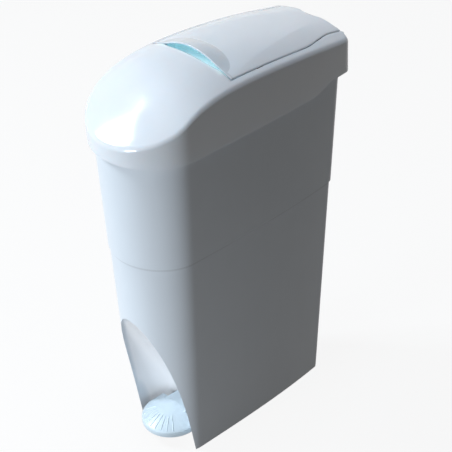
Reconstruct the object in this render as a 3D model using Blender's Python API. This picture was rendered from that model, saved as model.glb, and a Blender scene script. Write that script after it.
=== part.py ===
"""Pedal-operated sanitary container: tapered body, lift-off hood, hinged flap with its modesty tray, and the
pedal lever and push rod that open it. Metres, +Z up, the toe recess towards -Y, origin on the floor under the body."""

import math

import bmesh
import bpy
import numpy as np

# Overall plan of the body, at the floor and at the height where the hood's skirt ends
SKIRT_LEVEL = 0.450
BASE_HALF_WIDTH = 0.057
TOP_HALF_WIDTH = 0.0732
TOP_FRONT = -0.163
TOP_BACK = 0.1603
FRONT_DRAFT = 0.0104
BACK_DRAFT = 0.0309
BASE_FRONT = TOP_FRONT + FRONT_DRAFT
BASE_BACK = TOP_BACK - BACK_DRAFT
BASE_NOSE_DEPTH = 0.0525
TOP_NOSE_DEPTH = 0.061
NOSE_EXPONENT = 1.92
BASE_NARROWING = 0.0102
TOP_NARROWING = 0.0122
BASE_CORNER = 0.009
TOP_CORNER = 0.0125
BODY_WALL = 0.0025
STEP_LEVEL = 0.302
STEP_INSET = 0.0018
STEP_SLOPE = 0.0008
BODY_TOP = 0.464
RIM_THICKNESS = 0.003
BIN_FLOOR = 0.065
FLOOR_THICKNESS = 0.003

# Liner ring
LINER_THICKNESS = 0.002
LINER_EDGE_CLEARANCE = 0.0025
LINER_NECK_CLEARANCE = 0.0008
LINER_FOOT_CLEARANCE = 0.0015
LINER_SKIRT_THICKNESS = 0.0018
LINER_DEPTH = 0.014

# Hood
SIDE_OVERHANG = 0.0068
FRONT_OVERHANG = 0.0072
BACK_OVERHANG = 0.0122
HOOD_HALF_WIDTH = TOP_HALF_WIDTH + SIDE_OVERHANG
HOOD_FRONT = TOP_FRONT - FRONT_OVERHANG
HOOD_BACK = TOP_BACK + BACK_OVERHANG
NOSE_OVERHANG = 0.004
HOOD_NOSE_DEPTH = TOP_NOSE_DEPTH + NOSE_OVERHANG
HOOD_NARROWING = TOP_NARROWING
HOOD_CORNER = 0.0147
HOOD_WALL = 0.0025
SHOULDER_RADIUS = 0.004
SHOULDER_SHARES = (0.0, 0.12, 0.25, 0.45, 0.72, 1.0)
SHOULDER_HEIGHTS = (0.021, 0.039, 0.060, 0.068, 0.063, 0.0525)
CROWN_RISE = 0.0175
CROWN_FALL_TO_BACK = 0.006
CROWN_FALL_SHARE = 0.4
CROWN_FRONT_SHARE = 0.3
CROWN_FRONT_POWER = 2.5
CROWN_POWER = 2.2

# Seat of the flap in the hood
SEAM_FRONT = -0.0302
SEAM_INSET = 0.010
SEAM_BACK_INSET = 0.0180
SEAM_BEND_SHARES = (0.79, 0.905)
SEAT_DEPTH = 0.0060
SEAT_WIDTH = 0.008
SEAT_WALL = 0.0025
FINGER_TROUGH_DEPTH = 0.014
FINGER_TROUGH_LENGTH = 0.023
FINGER_TROUGH_SIDE_SHARE = 0.745
FINGER_SLOPE_LENGTH = 0.009
FINGER_SLOPE_RUN = 0.018
FINGER_SLOPE_POWER = 4
NOTCH_DROP = 0.0095
CHEEK_REACH = 0.012
CHEEK_THICKNESS = 0.007
CHEEK_DROP = 0.011
STOP_RIB_SHARES = (0.25, 0.42, 0.63, 0.83)
STOP_RIB_REACH = 0.012
STOP_RIB_THICKNESS = 0.002
STOP_RIB_DROP = 0.006

# Flap
FLAP_THICKNESS = 0.0024
FLAP_EDGE_GAP = 0.0011
FLAP_BACK_RADIUS = 0.0225
HINGE_SETBACK = 0.0245
HINGE_Y = HOOD_BACK - HINGE_SETBACK
HINGE_RISE = 0.050
HINGE_Z = SKIRT_LEVEL + HINGE_RISE
SIDE_SEAT_SETBACK = 0.020
FLAP_BACK_DROP_ANGLE = math.radians(23)
FLAP_BACK_EASE_ANGLE = math.radians(5.7)
FLAP_CORNER_SETBACK = 0.010
LIP_RISE = 0.0074
LIP_HALF_WIDTH = 0.049
LIP_SIDE_POWER = 1.3
LIP_VALLEY_LENGTH = 0.030
LIP_VALLEY_POWER = 1.25
VALLEY_HALF_WIDTH = 0.058
VALLEY_SIDE_POWER = 0.42
RIDGE_HEIGHT = 0.0012
RIDGE_FRONT_INSET = 0.004
RIDGE_FADE = 0.020
RIDGE_BACK_HALF_WIDTH = 0.018
RIDGE_MARGIN = 0.002
KNUCKLE_SIDE_SHARES = (-0.92, -0.295, 0.295, 0.92)
KNUCKLE_THICKNESS = 0.004
KNUCKLE_RADIUS = 0.006
KNUCKLE_FRONT_REACH = 0.012
FLAP_OPEN_ANGLE = math.radians(60)
PIN_RADIUS = 0.002
BUSH_RADIUS = 0.0042
BUSH_BORE = 0.0023
BUSH_FLOOR = 0.0005
BUFFER_LENGTH_SHARE = 0.555
BUFFER_INSET = 0.0045
BUFFER_HALF_WIDTH = 0.003
BUFFER_HALF_LENGTH = 0.004

# Fits
SEAT_GAP = 0.0003
RUN_GAP = 0.0006
SKIN = 0.0001
WELD = 0.001
OVERRUN = 0.010
CUT_RISE = 0.020
CUT_DROP = 0.030
SEAT_ROW_MARGIN = 0.002

# Crank, rod and pedal
ROD_RADIUS = 0.0025
CRANK_OFFSET_FROM_ROD = 0.0055
CRANK_NOSE_RADIUS = 0.004
CRANK_HALF_WIDTH = 0.007
CRANK_WEB_THICKNESS = 0.006
CRANK_WEB_FRONT_REACH = 0.0133
CRANK_WEB_BACK_REACH = 0.0107
ROD_END_COVER = 0.0025
ROD_SOCKET_WALL = 0.0015
ROD_TIP_RADIUS = 0.008
ROD_TIP_HEIGHT = 0.008
ROD_FOOT_RADIUS = 0.006
ROD_FOOT_HEIGHT = 0.006
TUBE_RADIUS = 0.005
TUBE_BORE = 0.0032
TUBE_TOP = 0.440
TUBE_BOTTOM = 0.0605
CLIP_LEVELS = (0.100, 0.425)
CLIP_HALF_HEIGHT = 0.005
CLIP_RING_RADIUS = 0.0078
CLIP_PAD_HALF_WIDTH = 0.015
CLIP_PAD_HALF_HEIGHT = 0.008
CLIP_PAD_DEPTH = 0.003
CLIP_PLATE_THICKNESS = 0.0025
CLIP_SCREW_SPREAD = 0.0115
CLIP_SCREW_LENGTH = 0.007
AXLE_SETBACK = 0.1076
AXLE_Y = BASE_FRONT + AXLE_SETBACK
AXLE_Z = 0.032
AXLE_END_REACH = 0.001
AXLE_RADIUS = 0.003
HUB_RADIUS = 0.008
HUB_HALF_WIDTH = 0.026
ARM_HALF_WIDTH = 0.008
ARM_NOSE_RADIUS = 0.005
ARM_HUB_INSET = 0.001
ARM_BUFFER_SETBACK = 0.012
ARM_BUFFER_RADIUS = 0.006
BEARING_INNER = 0.028
BEARING_OUTER = 0.038
BEARING_HALF_LENGTH = 0.009

# Pedal pad
PAD_HALF_WIDTH = 0.040
PAD_SETBACK = 0.0506
PAD_TAIL_LENGTH = 0.020
PAD_CENTRE_Y = BASE_FRONT + PAD_SETBACK
PAD_BACK_Y = PAD_CENTRE_Y + PAD_TAIL_LENGTH
PAD_BOTTOM = 0.0165
PAD_HEIGHT = 0.022
PAD_TOP_INSET = 0.014
PAD_LEVEL_SHARES = (0.0, 0.136, 0.614, 0.795, 0.932, 1.0)
PAD_INSET_SHARES = (0.18, 0.0, 0.043, 0.18, 0.5, 1.0)
PAD_POCKET_SHARES = (0.545, 0.82)
PAD_POCKET_TOP_INSET = 0.010
NECK_SETBACK = 0.0065
NECK_HALF_WIDTH = 0.020
NECK_RISE = 0.0045
NECK_DROP = 0.006
PAD_RIB_COUNT = 10
PAD_RIB_SPACING = math.radians(17.4)
PAD_RIB_HEIGHT = 0.001
PAD_WALL = 0.003

# Toe recess
RECESS_EDGE_WIDTH = 0.0028
RECESS_HALF_WIDTH = BASE_HALF_WIDTH - RECESS_EDGE_WIDTH
RECESS_TOP_SHARE = 0.97
RECESS_HEIGHT = 0.2088
RECESS_SIDE_POWER = 2.93
RECESS_TOP_POWER = 2.03
RECESS_DEPTH = 0.052
RECESS_LEAN_POWER = 1.5
RECESS_CORNER_POWER = 3.0
RECESS_WALL = 0.0025
NECK_SLOT_HALF_WIDTH = 0.026
NECK_SLOT_REACH = 0.012
NECK_SLOT_TOP = 0.048

# Modesty tray, drawn as it hangs with the flap shut
TRAY_SIDE_SHARE = 0.78
TRAY_THICKNESS = 0.002
TRAY_SIDE_HEIGHT = 0.010
TRAY_SETBACK = 0.0395
TRAY_BEND_SETBACK = 0.0370
TRAY_TOP_RISE = 0.010
TRAY_BEND_DROP = 0.088
TRAY_BEND_RADIUS = 0.014
TRAY_LENGTH = 0.078
TRAY_SLOPE_ANGLE = math.radians(30)
TRAY_HANG_LENGTH = 0.014
TRAY_LIP_LENGTH = 0.010
TRAY_LIP_ANGLE = math.radians(63)
TRAY_BOSS_DEPTH = 0.0095
TRAY_SCREW_LENGTH = 0.008
TRAY_BOSS_SIDE_SHARE = 0.58
TRAY_BOSS_HALF_WIDTH = 0.006
TRAY_SCREW_DROP = 0.006

# Base plate
PLATE_THICKNESS = 0.003
PLATE_FRONT_REACH = 0.008
PLATE_FRONT = AXLE_Y - PLATE_FRONT_REACH
BOSS_FRONT_SHARES = (0.74, 0.155)
BOSS_BACK_SHARES = (0.72, 0.81)
BOSS_RADIUS = 0.0045
SCREW_HEAD_RADIUS = 0.0032
SCREW_HEAD_HEIGHT = 0.002
SCREW_RADIUS = 0.0015
SCREW_LENGTH = 0.012
SCREW_HOLE_CLEARANCE = 0.004

# How finely round forms are cut
NOSE_POINTS = 15
SIDE_POINTS = 9
CORNER_POINTS = 4
TOP_COLUMNS = 13
SEAT_ROW_SHARES = (0, 0.0525, 0.111, 0.185, 0.283, 0.381, 0.504, 0.627, 0.710, 0.774, 0.833, 0.887, 0.941, 1)
FLAP_ROW_SHARES = (0.224, 0.373, 0.559, 0.718, 0.825, 0.904, 1)
RECESS_LEVELS = 11
RECESS_POINTS = 10
ROUND_SIDES = 20
SMALL_SIDES = 12


def clear_scene():
    for obj in list(bpy.data.objects):
        bpy.data.objects.remove(obj, do_unlink=True)


def make_material(name, colour, roughness, metallic=0.0):
    material = bpy.data.materials.new(name)
    material.use_nodes = True
    shader = material.node_tree.nodes["Principled BSDF"]
    shader.inputs["Base Color"].default_value = (*colour, 1.0)
    shader.inputs["Roughness"].default_value = roughness
    shader.inputs["Metallic"].default_value = metallic
    material.diffuse_color = (*colour, 1.0)
    return material


def add_object(name, vertices, faces, material=None, origin=(0.0, 0.0, 0.0), parent=None):
    """A mesh object whose vertices are given in world places and whose origin is set on its joint or seat."""
    mesh = bpy.data.meshes.new(name)
    shift = np.array(origin, float)
    mesh.from_pydata([tuple(np.array(v, float) - shift) for v in vertices], [], [list(f) for f in faces])
    mesh.validate()
    work = bmesh.new()
    work.from_mesh(mesh)
    bmesh.ops.recalc_face_normals(work, faces=work.faces)
    if work.calc_volume(signed=True) < 0:
        bmesh.ops.reverse_faces(work, faces=work.faces)
    work.to_mesh(mesh)
    work.free()
    mesh.shade_smooth()
    mesh.set_sharp_from_angle(angle=math.radians(35))
    obj = bpy.data.objects.new(name, mesh)
    bpy.context.collection.objects.link(obj)
    if material is not None:
        mesh.materials.append(material)
    place = shift
    if parent is not None:
        obj.parent = parent
        place = shift - np.array(parent.location)
    obj.location = tuple(place)
    return obj


def add_joint(name, place):
    """An empty on a joint's axis, which the pieces that move about it hang on."""
    empty = bpy.data.objects.new(name, None)
    empty.empty_display_size = 0.02
    empty.location = place
    bpy.context.collection.objects.link(empty)
    return empty


def combine(target, tool, operation):
    """Joins the tool to the target or cuts it away, and keeps the tool as a hidden helper."""
    tool.hide_render = True
    tool.display_type = "WIRE"
    modifier = target.modifiers.new(tool.name, "BOOLEAN")
    modifier.operation = operation
    modifier.solver = "EXACT"
    modifier.object = tool


def cut(target, *tools):
    for tool in tools:
        combine(target, tool, "DIFFERENCE")


def join(target, *tools):
    for tool in tools:
        combine(target, tool, "UNION")


def loft(rings, closed=False):
    """Faces between rings of equal count: capped at both ends, or joined end to start when closed."""
    count = len(rings[0])
    vertices = [point for ring in rings for point in ring]
    faces = []
    spans = len(rings) if closed else len(rings) - 1
    for level in range(spans):
        here = level * count
        there = ((level + 1) % len(rings)) * count
        for i in range(count):
            j = (i + 1) % count
            faces.append((here + i, here + j, there + j, there + i))
    if not closed:
        faces.append(tuple(range(count)))
        faces.append(tuple((len(rings) - 1) * count + i for i in range(count)))
    return vertices, faces


def extrude_profile(name, profile, low, high, material=None, **options):
    """A profile of (y, z) points carried along X from low to high."""
    rings = [[(x, y, z) for y, z in profile] for x in (low, high)]
    return add_object(name, *loft(rings), material, **options)


def add_box(name, low, high, material=None, **options):
    profile = [(low[1], low[2]), (high[1], low[2]), (high[1], high[2]), (low[1], high[2])]
    return extrude_profile(name, profile, low[0], high[0], material, **options)


def circle(radius, sides, centre=(0.0, 0.0), start=0.0):
    steps = [start + 2 * math.pi * k / sides for k in range(sides)]
    return [(centre[0] + radius * math.cos(a), centre[1] + radius * math.sin(a)) for a in steps]


def turned(name, stations, centre, axis, sides, material=None, **options):
    """A turned piece: (distance along the axis, radius) stations, each ring square to the axis."""
    rings = []
    for along, radius in stations:
        ring = []
        for p, q in circle(radius, sides, start=math.pi / sides):
            if axis == "X":
                ring.append((centre[0] + along, centre[1] + p, centre[2] + q))
            elif axis == "Y":
                ring.append((centre[0] + p, centre[1] + along, centre[2] + q))
            else:
                ring.append((centre[0] + p, centre[1] + q, centre[2] + along))
        rings.append(ring)
    return add_object(name, *loft(rings), material, **options)


def turned_ring(name, low, high, radius, bore, centre, axis, sides, material=None, **options):
    """A tube between two distances along the axis."""
    rings = []
    for along, size in ((low, radius), (high, radius), (high, bore), (low, bore)):
        points = circle(size, sides, start=math.pi / sides)
        if axis == "X":
            rings.append([(centre[0] + along, centre[1] + p, centre[2] + q) for p, q in points])
        else:
            rings.append([(centre[0] + p, centre[1] + q, centre[2] + along) for p, q in points])
    return add_object(name, *loft(rings, closed=True), material, **options)


def smooth_step(value):
    value = np.clip(value, 0.0, 1.0)
    return value * value * (3 - 2 * value)


def smooth_through(shares, heights, at):
    """A smooth curve through a few heights, with the mean of the slopes beside each one."""
    shares = np.array(shares)
    heights = np.array(heights)
    steps = np.diff(heights) / np.diff(shares)
    slopes = np.concatenate([[steps[0]], (steps[:-1] + steps[1:]) / 2, [steps[-1]]])
    slopes[1:-1][steps[:-1] * steps[1:] < 0] = 0.0
    at = float(np.clip(at, shares[0], shares[-1]))
    k = min(int(np.searchsorted(shares, at, side="right")) - 1, len(steps) - 1)
    width = shares[k + 1] - shares[k]
    t = (at - shares[k]) / width
    rise = heights[k] * (2 * t**3 - 3 * t**2 + 1) + heights[k + 1] * (3 * t**2 - 2 * t**3)
    return rise + width * (slopes[k] * (t**3 - 2 * t**2 + t) + slopes[k + 1] * (t**3 - t**2))


def plan_half(half_width, front, back, nose_depth, narrowing, corner, inset=0.0):
    """The right half of a plan, from the front centre to the end of the back corner, drawn in by the inset."""
    points = []
    for t in np.linspace(0, math.pi / 2, NOSE_POINTS):
        x = half_width * math.sin(t) ** (2 / NOSE_EXPONENT)
        y = front + nose_depth - nose_depth * math.cos(t) ** (2 / NOSE_EXPONENT)
        points.append((x, y))
    start = front + nose_depth
    end = back - corner
    for k in range(1, SIDE_POINTS + 1):
        share = k / SIDE_POINTS
        y = start + share * (end - start)
        points.append((half_width - narrowing * ((y - start) / (back - start)) ** 3, y))
    edge = points[-1][0]
    for k in range(1, CORNER_POINTS + 1):
        turn = math.pi / 2 * k / CORNER_POINTS
        points.append((edge - corner * (1 - math.cos(turn)), end + corner * math.sin(turn)))
    points = np.array(points)
    if not inset:
        return points
    steps = np.gradient(points, axis=0)
    steps[0] = (1.0, 0.0)
    steps[-1] = (-1.0, 0.0)
    normals = np.column_stack([-steps[:, 1], steps[:, 0]])
    normals /= np.linalg.norm(normals, axis=1)[:, None]
    return points + inset * normals


def blend(low, high, share):
    return low + (high - low) * share


def body_half(level, inset=0.0):
    share = level / SKIRT_LEVEL
    return plan_half(
        blend(BASE_HALF_WIDTH, TOP_HALF_WIDTH, share),
        blend(BASE_FRONT, TOP_FRONT, share),
        blend(BASE_BACK, TOP_BACK, share),
        blend(BASE_NOSE_DEPTH, TOP_NOSE_DEPTH, share),
        blend(BASE_NARROWING, TOP_NARROWING, share),
        blend(BASE_CORNER, TOP_CORNER, share),
        inset,
    )


def hood_half(inset=0.0):
    return plan_half(
        HOOD_HALF_WIDTH, HOOD_FRONT, HOOD_BACK, HOOD_NOSE_DEPTH, HOOD_NARROWING, HOOD_CORNER, inset
    )


def column_shares():
    return np.linspace(-1, 1, TOP_COLUMNS)


def full_plan(half):
    """The whole plan from its right half, with the back edge cut into the same columns as the top."""
    right = [tuple(p) for p in half]
    x_end, y_end = right[-1]
    back = [(x_end * s, y_end) for s in column_shares()[::-1][1:-1]]
    left = [(-x, y) for x, y in right[1:][::-1]]
    return right + back + left


def ring_at(half, level):
    """A ring of the plan at one level, or at a level worked out for each point."""
    if callable(level):
        return [(x, y, level(x, y)) for x, y in full_plan(half)]
    return [(x, y, level) for x, y in full_plan(half)]


def back_wall(level):
    """Where the body's inner back face stands at a level."""
    inset = BODY_WALL + (STEP_INSET if level < STEP_LEVEL else 0.0)
    return blend(BASE_BACK, TOP_BACK, level / SKIRT_LEVEL) - inset


def half_width_at(y):
    start = HOOD_FRONT + HOOD_NOSE_DEPTH
    if y <= start:
        near = max(0.0, 1 - ((start - y) / HOOD_NOSE_DEPTH) ** NOSE_EXPONENT)
        return HOOD_HALF_WIDTH * near ** (1 / NOSE_EXPONENT)
    return HOOD_HALF_WIDTH - HOOD_NARROWING * ((y - start) / (HOOD_BACK - start)) ** 3


def shoulder_level(y):
    share = (y - HOOD_FRONT) / (HOOD_BACK - HOOD_FRONT)
    return SKIRT_LEVEL + smooth_through(SHOULDER_SHARES, SHOULDER_HEIGHTS, share)


def top_level(x, y):
    """The hood's crowned top surface, which the flap carries on."""
    share = (y - HOOD_FRONT) / (HOOD_BACK - HOOD_FRONT)
    front = 1 - max(0.0, 1 - share / CROWN_FRONT_SHARE) ** CROWN_FRONT_POWER
    back = CROWN_FALL_TO_BACK * max(0.0, (share - CROWN_FALL_SHARE) / (1 - CROWN_FALL_SHARE))
    rise = CROWN_RISE * front - back
    across = min(1.0, abs(x) / max(half_width_at(y), 1e-6))
    return shoulder_level(y) + rise * (1 - across**CROWN_POWER)


def hood_place(share):
    """The place along the hood's length at a share from its front to its back."""
    return blend(HOOD_FRONT, HOOD_BACK, share)


def seam_half_width(y):
    """The flap's opening bends in before the hinge, and runs straight beside it so that the flap can turn."""
    start, end = (hood_place(share) for share in SEAM_BEND_SHARES)
    y = min(y, end)
    bend = smooth_step((y - start) / (end - start))
    return half_width_at(y) - blend(SEAM_INSET, SEAM_BACK_INSET, float(bend))


def trough_half_width():
    return FINGER_TROUGH_SIDE_SHARE * seam_half_width(SEAM_FRONT)


def trough_depth(x, y):
    """The trough slopes in from ahead of the seam, and its slope runs out towards its sides."""
    side = min(1.0, abs(x) / trough_half_width()) ** FINGER_SLOPE_POWER
    start = SEAM_FRONT - FINGER_SLOPE_LENGTH * (1 - side)
    return blend(-WELD, FINGER_TROUGH_DEPTH, float(smooth_step((y - start) / FINGER_SLOPE_RUN)))


def rod_place():
    """The push rod stands as near the back wall as the arm's nose and the lower clip's ring allow."""
    lower_clip = back_wall(CLIP_LEVELS[0] - CLIP_HALF_HEIGHT) - CLIP_PAD_DEPTH - CLIP_RING_RADIUS
    return min(back_wall(0.0) - ARM_NOSE_RADIUS, lower_clip) - SEAT_GAP


def crank_radius():
    """The crank's nose stands over the rod's tip in the middle of its swing, set back by the offset at its ends."""
    return (HINGE_Y - rod_place() - CRANK_OFFSET_FROM_ROD) / math.cos(FLAP_OPEN_ANGLE / 2)


def rod_rise():
    return 2 * crank_radius() * math.sin(FLAP_OPEN_ANGLE / 2)


def boss_places():
    """The four posts that the base plate is screwed to, inside the foot of the body."""
    half = body_half(0.0, STEP_INSET + BODY_WALL)
    places = []
    for side_share, length_share in (BOSS_FRONT_SHARES, BOSS_BACK_SHARES):
        y = blend(AXLE_Y, BASE_BACK, length_share)
        edge = float(np.interp(y, half[NOSE_POINTS - 1 :, 1], half[NOSE_POINTS - 1 :, 0]))
        places += [(-side_share * edge, y), (side_share * edge, y)]
    return places


def slab(name, rows, left, right, low, high, columns):
    """A slab whose plan runs from left(y) to right(y) at each row and whose faces follow low(x, y) and high(x, y)."""
    shares = np.linspace(0, 1, columns)
    rings = []
    for y in rows:
        xs = [blend(left(y), right(y), s) for s in shares]
        bottom = [(x, y, low(x, y)) for x in xs]
        top = [(x, y, high(x, y)) for x in xs[::-1]]
        rings.append(bottom + top)
    return add_object(name, *loft(rings))


def below_top(depth):
    return lambda x, y: top_level(x, min(y, HOOD_BACK)) - depth


def recess_edge(level, half):
    """Where the recess's side edge meets the curved front of the body at a level."""
    outline = body_half(level, STEP_INSET)[:NOSE_POINTS]
    return float(np.interp(min(half, RECESS_HALF_WIDTH), outline[:, 0], outline[:, 1]))


def recess_back():
    """Where the recess's back face stands at the floor, on the centre line."""
    return recess_edge(0.0, RECESS_HALF_WIDTH) + RECESS_DEPTH


def build_recess(name, grow):
    """The toe recess as a solid: straight to the front from its edge, and a rounded alcove behind it."""
    height = RECESS_HEIGHT + grow
    rings = []
    for k in range(RECESS_LEVELS + 1):
        level = height * math.sin(math.pi / 2 * RECESS_TOP_SHARE * k / RECESS_LEVELS)
        share = level / height
        half = (RECESS_HALF_WIDTH + grow) * (1 - share**RECESS_SIDE_POWER) ** (1 / RECESS_TOP_POWER)
        edge_y = recess_edge(level, half)
        depth = (RECESS_DEPTH + grow) * (1 - share**RECESS_LEAN_POWER)
        back = []
        for turn in np.linspace(0, math.pi / 2, RECESS_POINTS):
            x = half * math.cos(turn) ** (2 / RECESS_CORNER_POWER)
            y = edge_y + depth * math.sin(turn) ** (2 / RECESS_CORNER_POWER)
            back.append((x, y))
        right = [(half, TOP_FRONT - RECESS_DEPTH), *back]
        left = [(-x, y) for x, y in right[:-1][::-1]]
        rings.append([(x, y, level if k else -OVERRUN) for x, y in right + left])
    return add_object(name, *loft(rings))


def build_body(material):
    low = STEP_INSET
    outer = [
        ring_at(body_half(0.0, low), 0.0),
        ring_at(body_half(STEP_LEVEL, low), STEP_LEVEL),
        ring_at(body_half(STEP_LEVEL + STEP_SLOPE), STEP_LEVEL + STEP_SLOPE),
        ring_at(body_half(BODY_TOP - RIM_THICKNESS), BODY_TOP - RIM_THICKNESS),
        ring_at(hood_half(HOOD_WALL + RUN_GAP), BODY_TOP - RIM_THICKNESS),
        ring_at(hood_half(HOOD_WALL + RUN_GAP), BODY_TOP),
    ]
    body = add_object("body", *loft(outer), material)
    inside = [
        ring_at(body_half(BIN_FLOOR, low + BODY_WALL), BIN_FLOOR),
        ring_at(body_half(STEP_LEVEL, low + BODY_WALL), STEP_LEVEL),
        ring_at(body_half(STEP_LEVEL + 2 * STEP_INSET, BODY_WALL), STEP_LEVEL + 2 * STEP_INSET),
        ring_at(body_half(BODY_TOP + OVERRUN, BODY_WALL), BODY_TOP + OVERRUN),
    ]
    bin_space = add_object("bin_space", *loft(inside))
    under_top = BIN_FLOOR - FLOOR_THICKNESS
    under = [
        ring_at(body_half(0.0, low + BODY_WALL), -OVERRUN),
        ring_at(body_half(under_top, low + BODY_WALL), under_top),
    ]
    under_space = add_object("under_space", *loft(under))
    cut(bin_space, build_recess("recess_wall_above", RECESS_WALL))
    cut(under_space, build_recess("recess_wall_below", RECESS_WALL + SKIN))
    cut(body, bin_space, under_space, build_recess("toe_recess", 0.0))
    slot_low = (-NECK_SLOT_HALF_WIDTH, recess_back() - NECK_SLOT_REACH, -OVERRUN)
    slot_high = (NECK_SLOT_HALF_WIDTH, recess_back() + NECK_SLOT_REACH, NECK_SLOT_TOP)
    cut(body, add_box("neck_slot", slot_low, slot_high))
    for number, (x, y) in enumerate(boss_places(), 1):
        low_end = PLATE_THICKNESS + SEAT_GAP
        boss = turned(
            f"plate_boss_{number}",
            [(low_end, BOSS_RADIUS), (under_top + WELD, BOSS_RADIUS)],
            (x, y, 0.0),
            "Z",
            SMALL_SIDES,
        )
        hole = turned(
            f"plate_boss_hole_{number}",
            [(-OVERRUN, SCREW_RADIUS + SEAT_GAP), (SCREW_LENGTH + SCREW_HOLE_CLEARANCE, SCREW_RADIUS + SEAT_GAP)],
            (x, y, 0.0),
            "Z",
            SMALL_SIDES,
        )
        join(body, boss)
        cut(body, hole)
    for number, level in enumerate(CLIP_LEVELS, 1):
        y_low, y_high = back_wall(level - CLIP_PAD_HALF_HEIGHT), back_wall(level + CLIP_PAD_HALF_HEIGHT)
        profile = [
            (y_low - CLIP_PAD_DEPTH, level - CLIP_PAD_HALF_HEIGHT),
            (y_low + WELD, level - CLIP_PAD_HALF_HEIGHT),
            (y_high + WELD, level + CLIP_PAD_HALF_HEIGHT),
            (y_high - CLIP_PAD_DEPTH, level + CLIP_PAD_HALF_HEIGHT),
        ]
        join(body, extrude_profile(f"clip_pad_{number}", profile, -CLIP_PAD_HALF_WIDTH, CLIP_PAD_HALF_WIDTH))
    rod_hole = turned(
        "rod_hole",
        [(under_top - WELD, TUBE_RADIUS + SEAT_GAP), (BIN_FLOOR + WELD, TUBE_RADIUS + SEAT_GAP)],
        (0.0, rod_place(), 0.0),
        "Z",
        ROUND_SIDES,
    )
    cut(body, rod_hole)
    return body


def build_liner_ring(material):
    """The bag's frame: a plate over the rim with a short skirt inside it."""
    low = BODY_TOP + SEAT_GAP
    high = low + LINER_THICKNESS
    edge = hood_half(HOOD_WALL + LINER_EDGE_CLEARANCE)
    neck = body_half(BODY_TOP, BODY_WALL + LINER_NECK_CLEARANCE)
    foot = body_half(BODY_TOP, BODY_WALL + LINER_FOOT_CLEARANCE)
    inside = body_half(BODY_TOP, BODY_WALL + LINER_FOOT_CLEARANCE + LINER_SKIRT_THICKNESS)
    rings = [
        ring_at(edge, high),
        ring_at(edge, low),
        ring_at(neck, low),
        ring_at(foot, low - LINER_DEPTH),
        ring_at(inside, low - LINER_DEPTH),
        ring_at(inside, high),
    ]
    return add_object("liner_ring", *loft(rings, closed=True), material)


def hood_surface(wall):
    """The hood's closed skin, drawn in by the wall: its skirt, rounded shoulder and crowned top."""
    shares = column_shares()
    radius = SHOULDER_RADIUS
    bottom = SKIRT_LEVEL
    lower = hood_half(wall)
    middle = hood_half(wall + 0.3 * radius)
    upper = hood_half(wall + radius)
    rings = [
        ring_at(lower, bottom),
        ring_at(lower, lambda x, y: shoulder_level(y) - radius - wall),
        ring_at(middle, lambda x, y: shoulder_level(y) - 0.3 * radius - wall),
        ring_at(upper, lambda x, y: top_level(x, y) - wall),
    ]
    count = len(rings[0])
    vertices = [point for ring in rings for point in ring]
    faces = []
    for level in range(len(rings) - 1):
        for i in range(count):
            j = (i + 1) % count
            faces.append((level * count + i, level * count + j, (level + 1) * count + j, (level + 1) * count + i))
    first = (len(rings) - 1) * count
    half_count = len(upper)
    rows = []
    for i in range(1, half_count):
        right = first + i
        left = first + count - i
        if i == half_count - 1:
            middle_ids = [first + half_count - 1 + k for k in range(1, TOP_COLUMNS - 1)][::-1]
        else:
            x_end, y = upper[i]
            middle_ids = []
            for s in shares[1:-1]:
                middle_ids.append(len(vertices))
                vertices.append((x_end * s, y, top_level(x_end * s, y) - wall))
        rows.append([left, *middle_ids, right])
    for k in range(TOP_COLUMNS - 1):
        faces.append((first, rows[0][k], rows[0][k + 1]))
    for row, following in zip(rows[:-1], rows[1:]):
        for k in range(TOP_COLUMNS - 1):
            faces.append((row[k], following[k], following[k + 1], row[k + 1]))
    return vertices, faces, count


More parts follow.
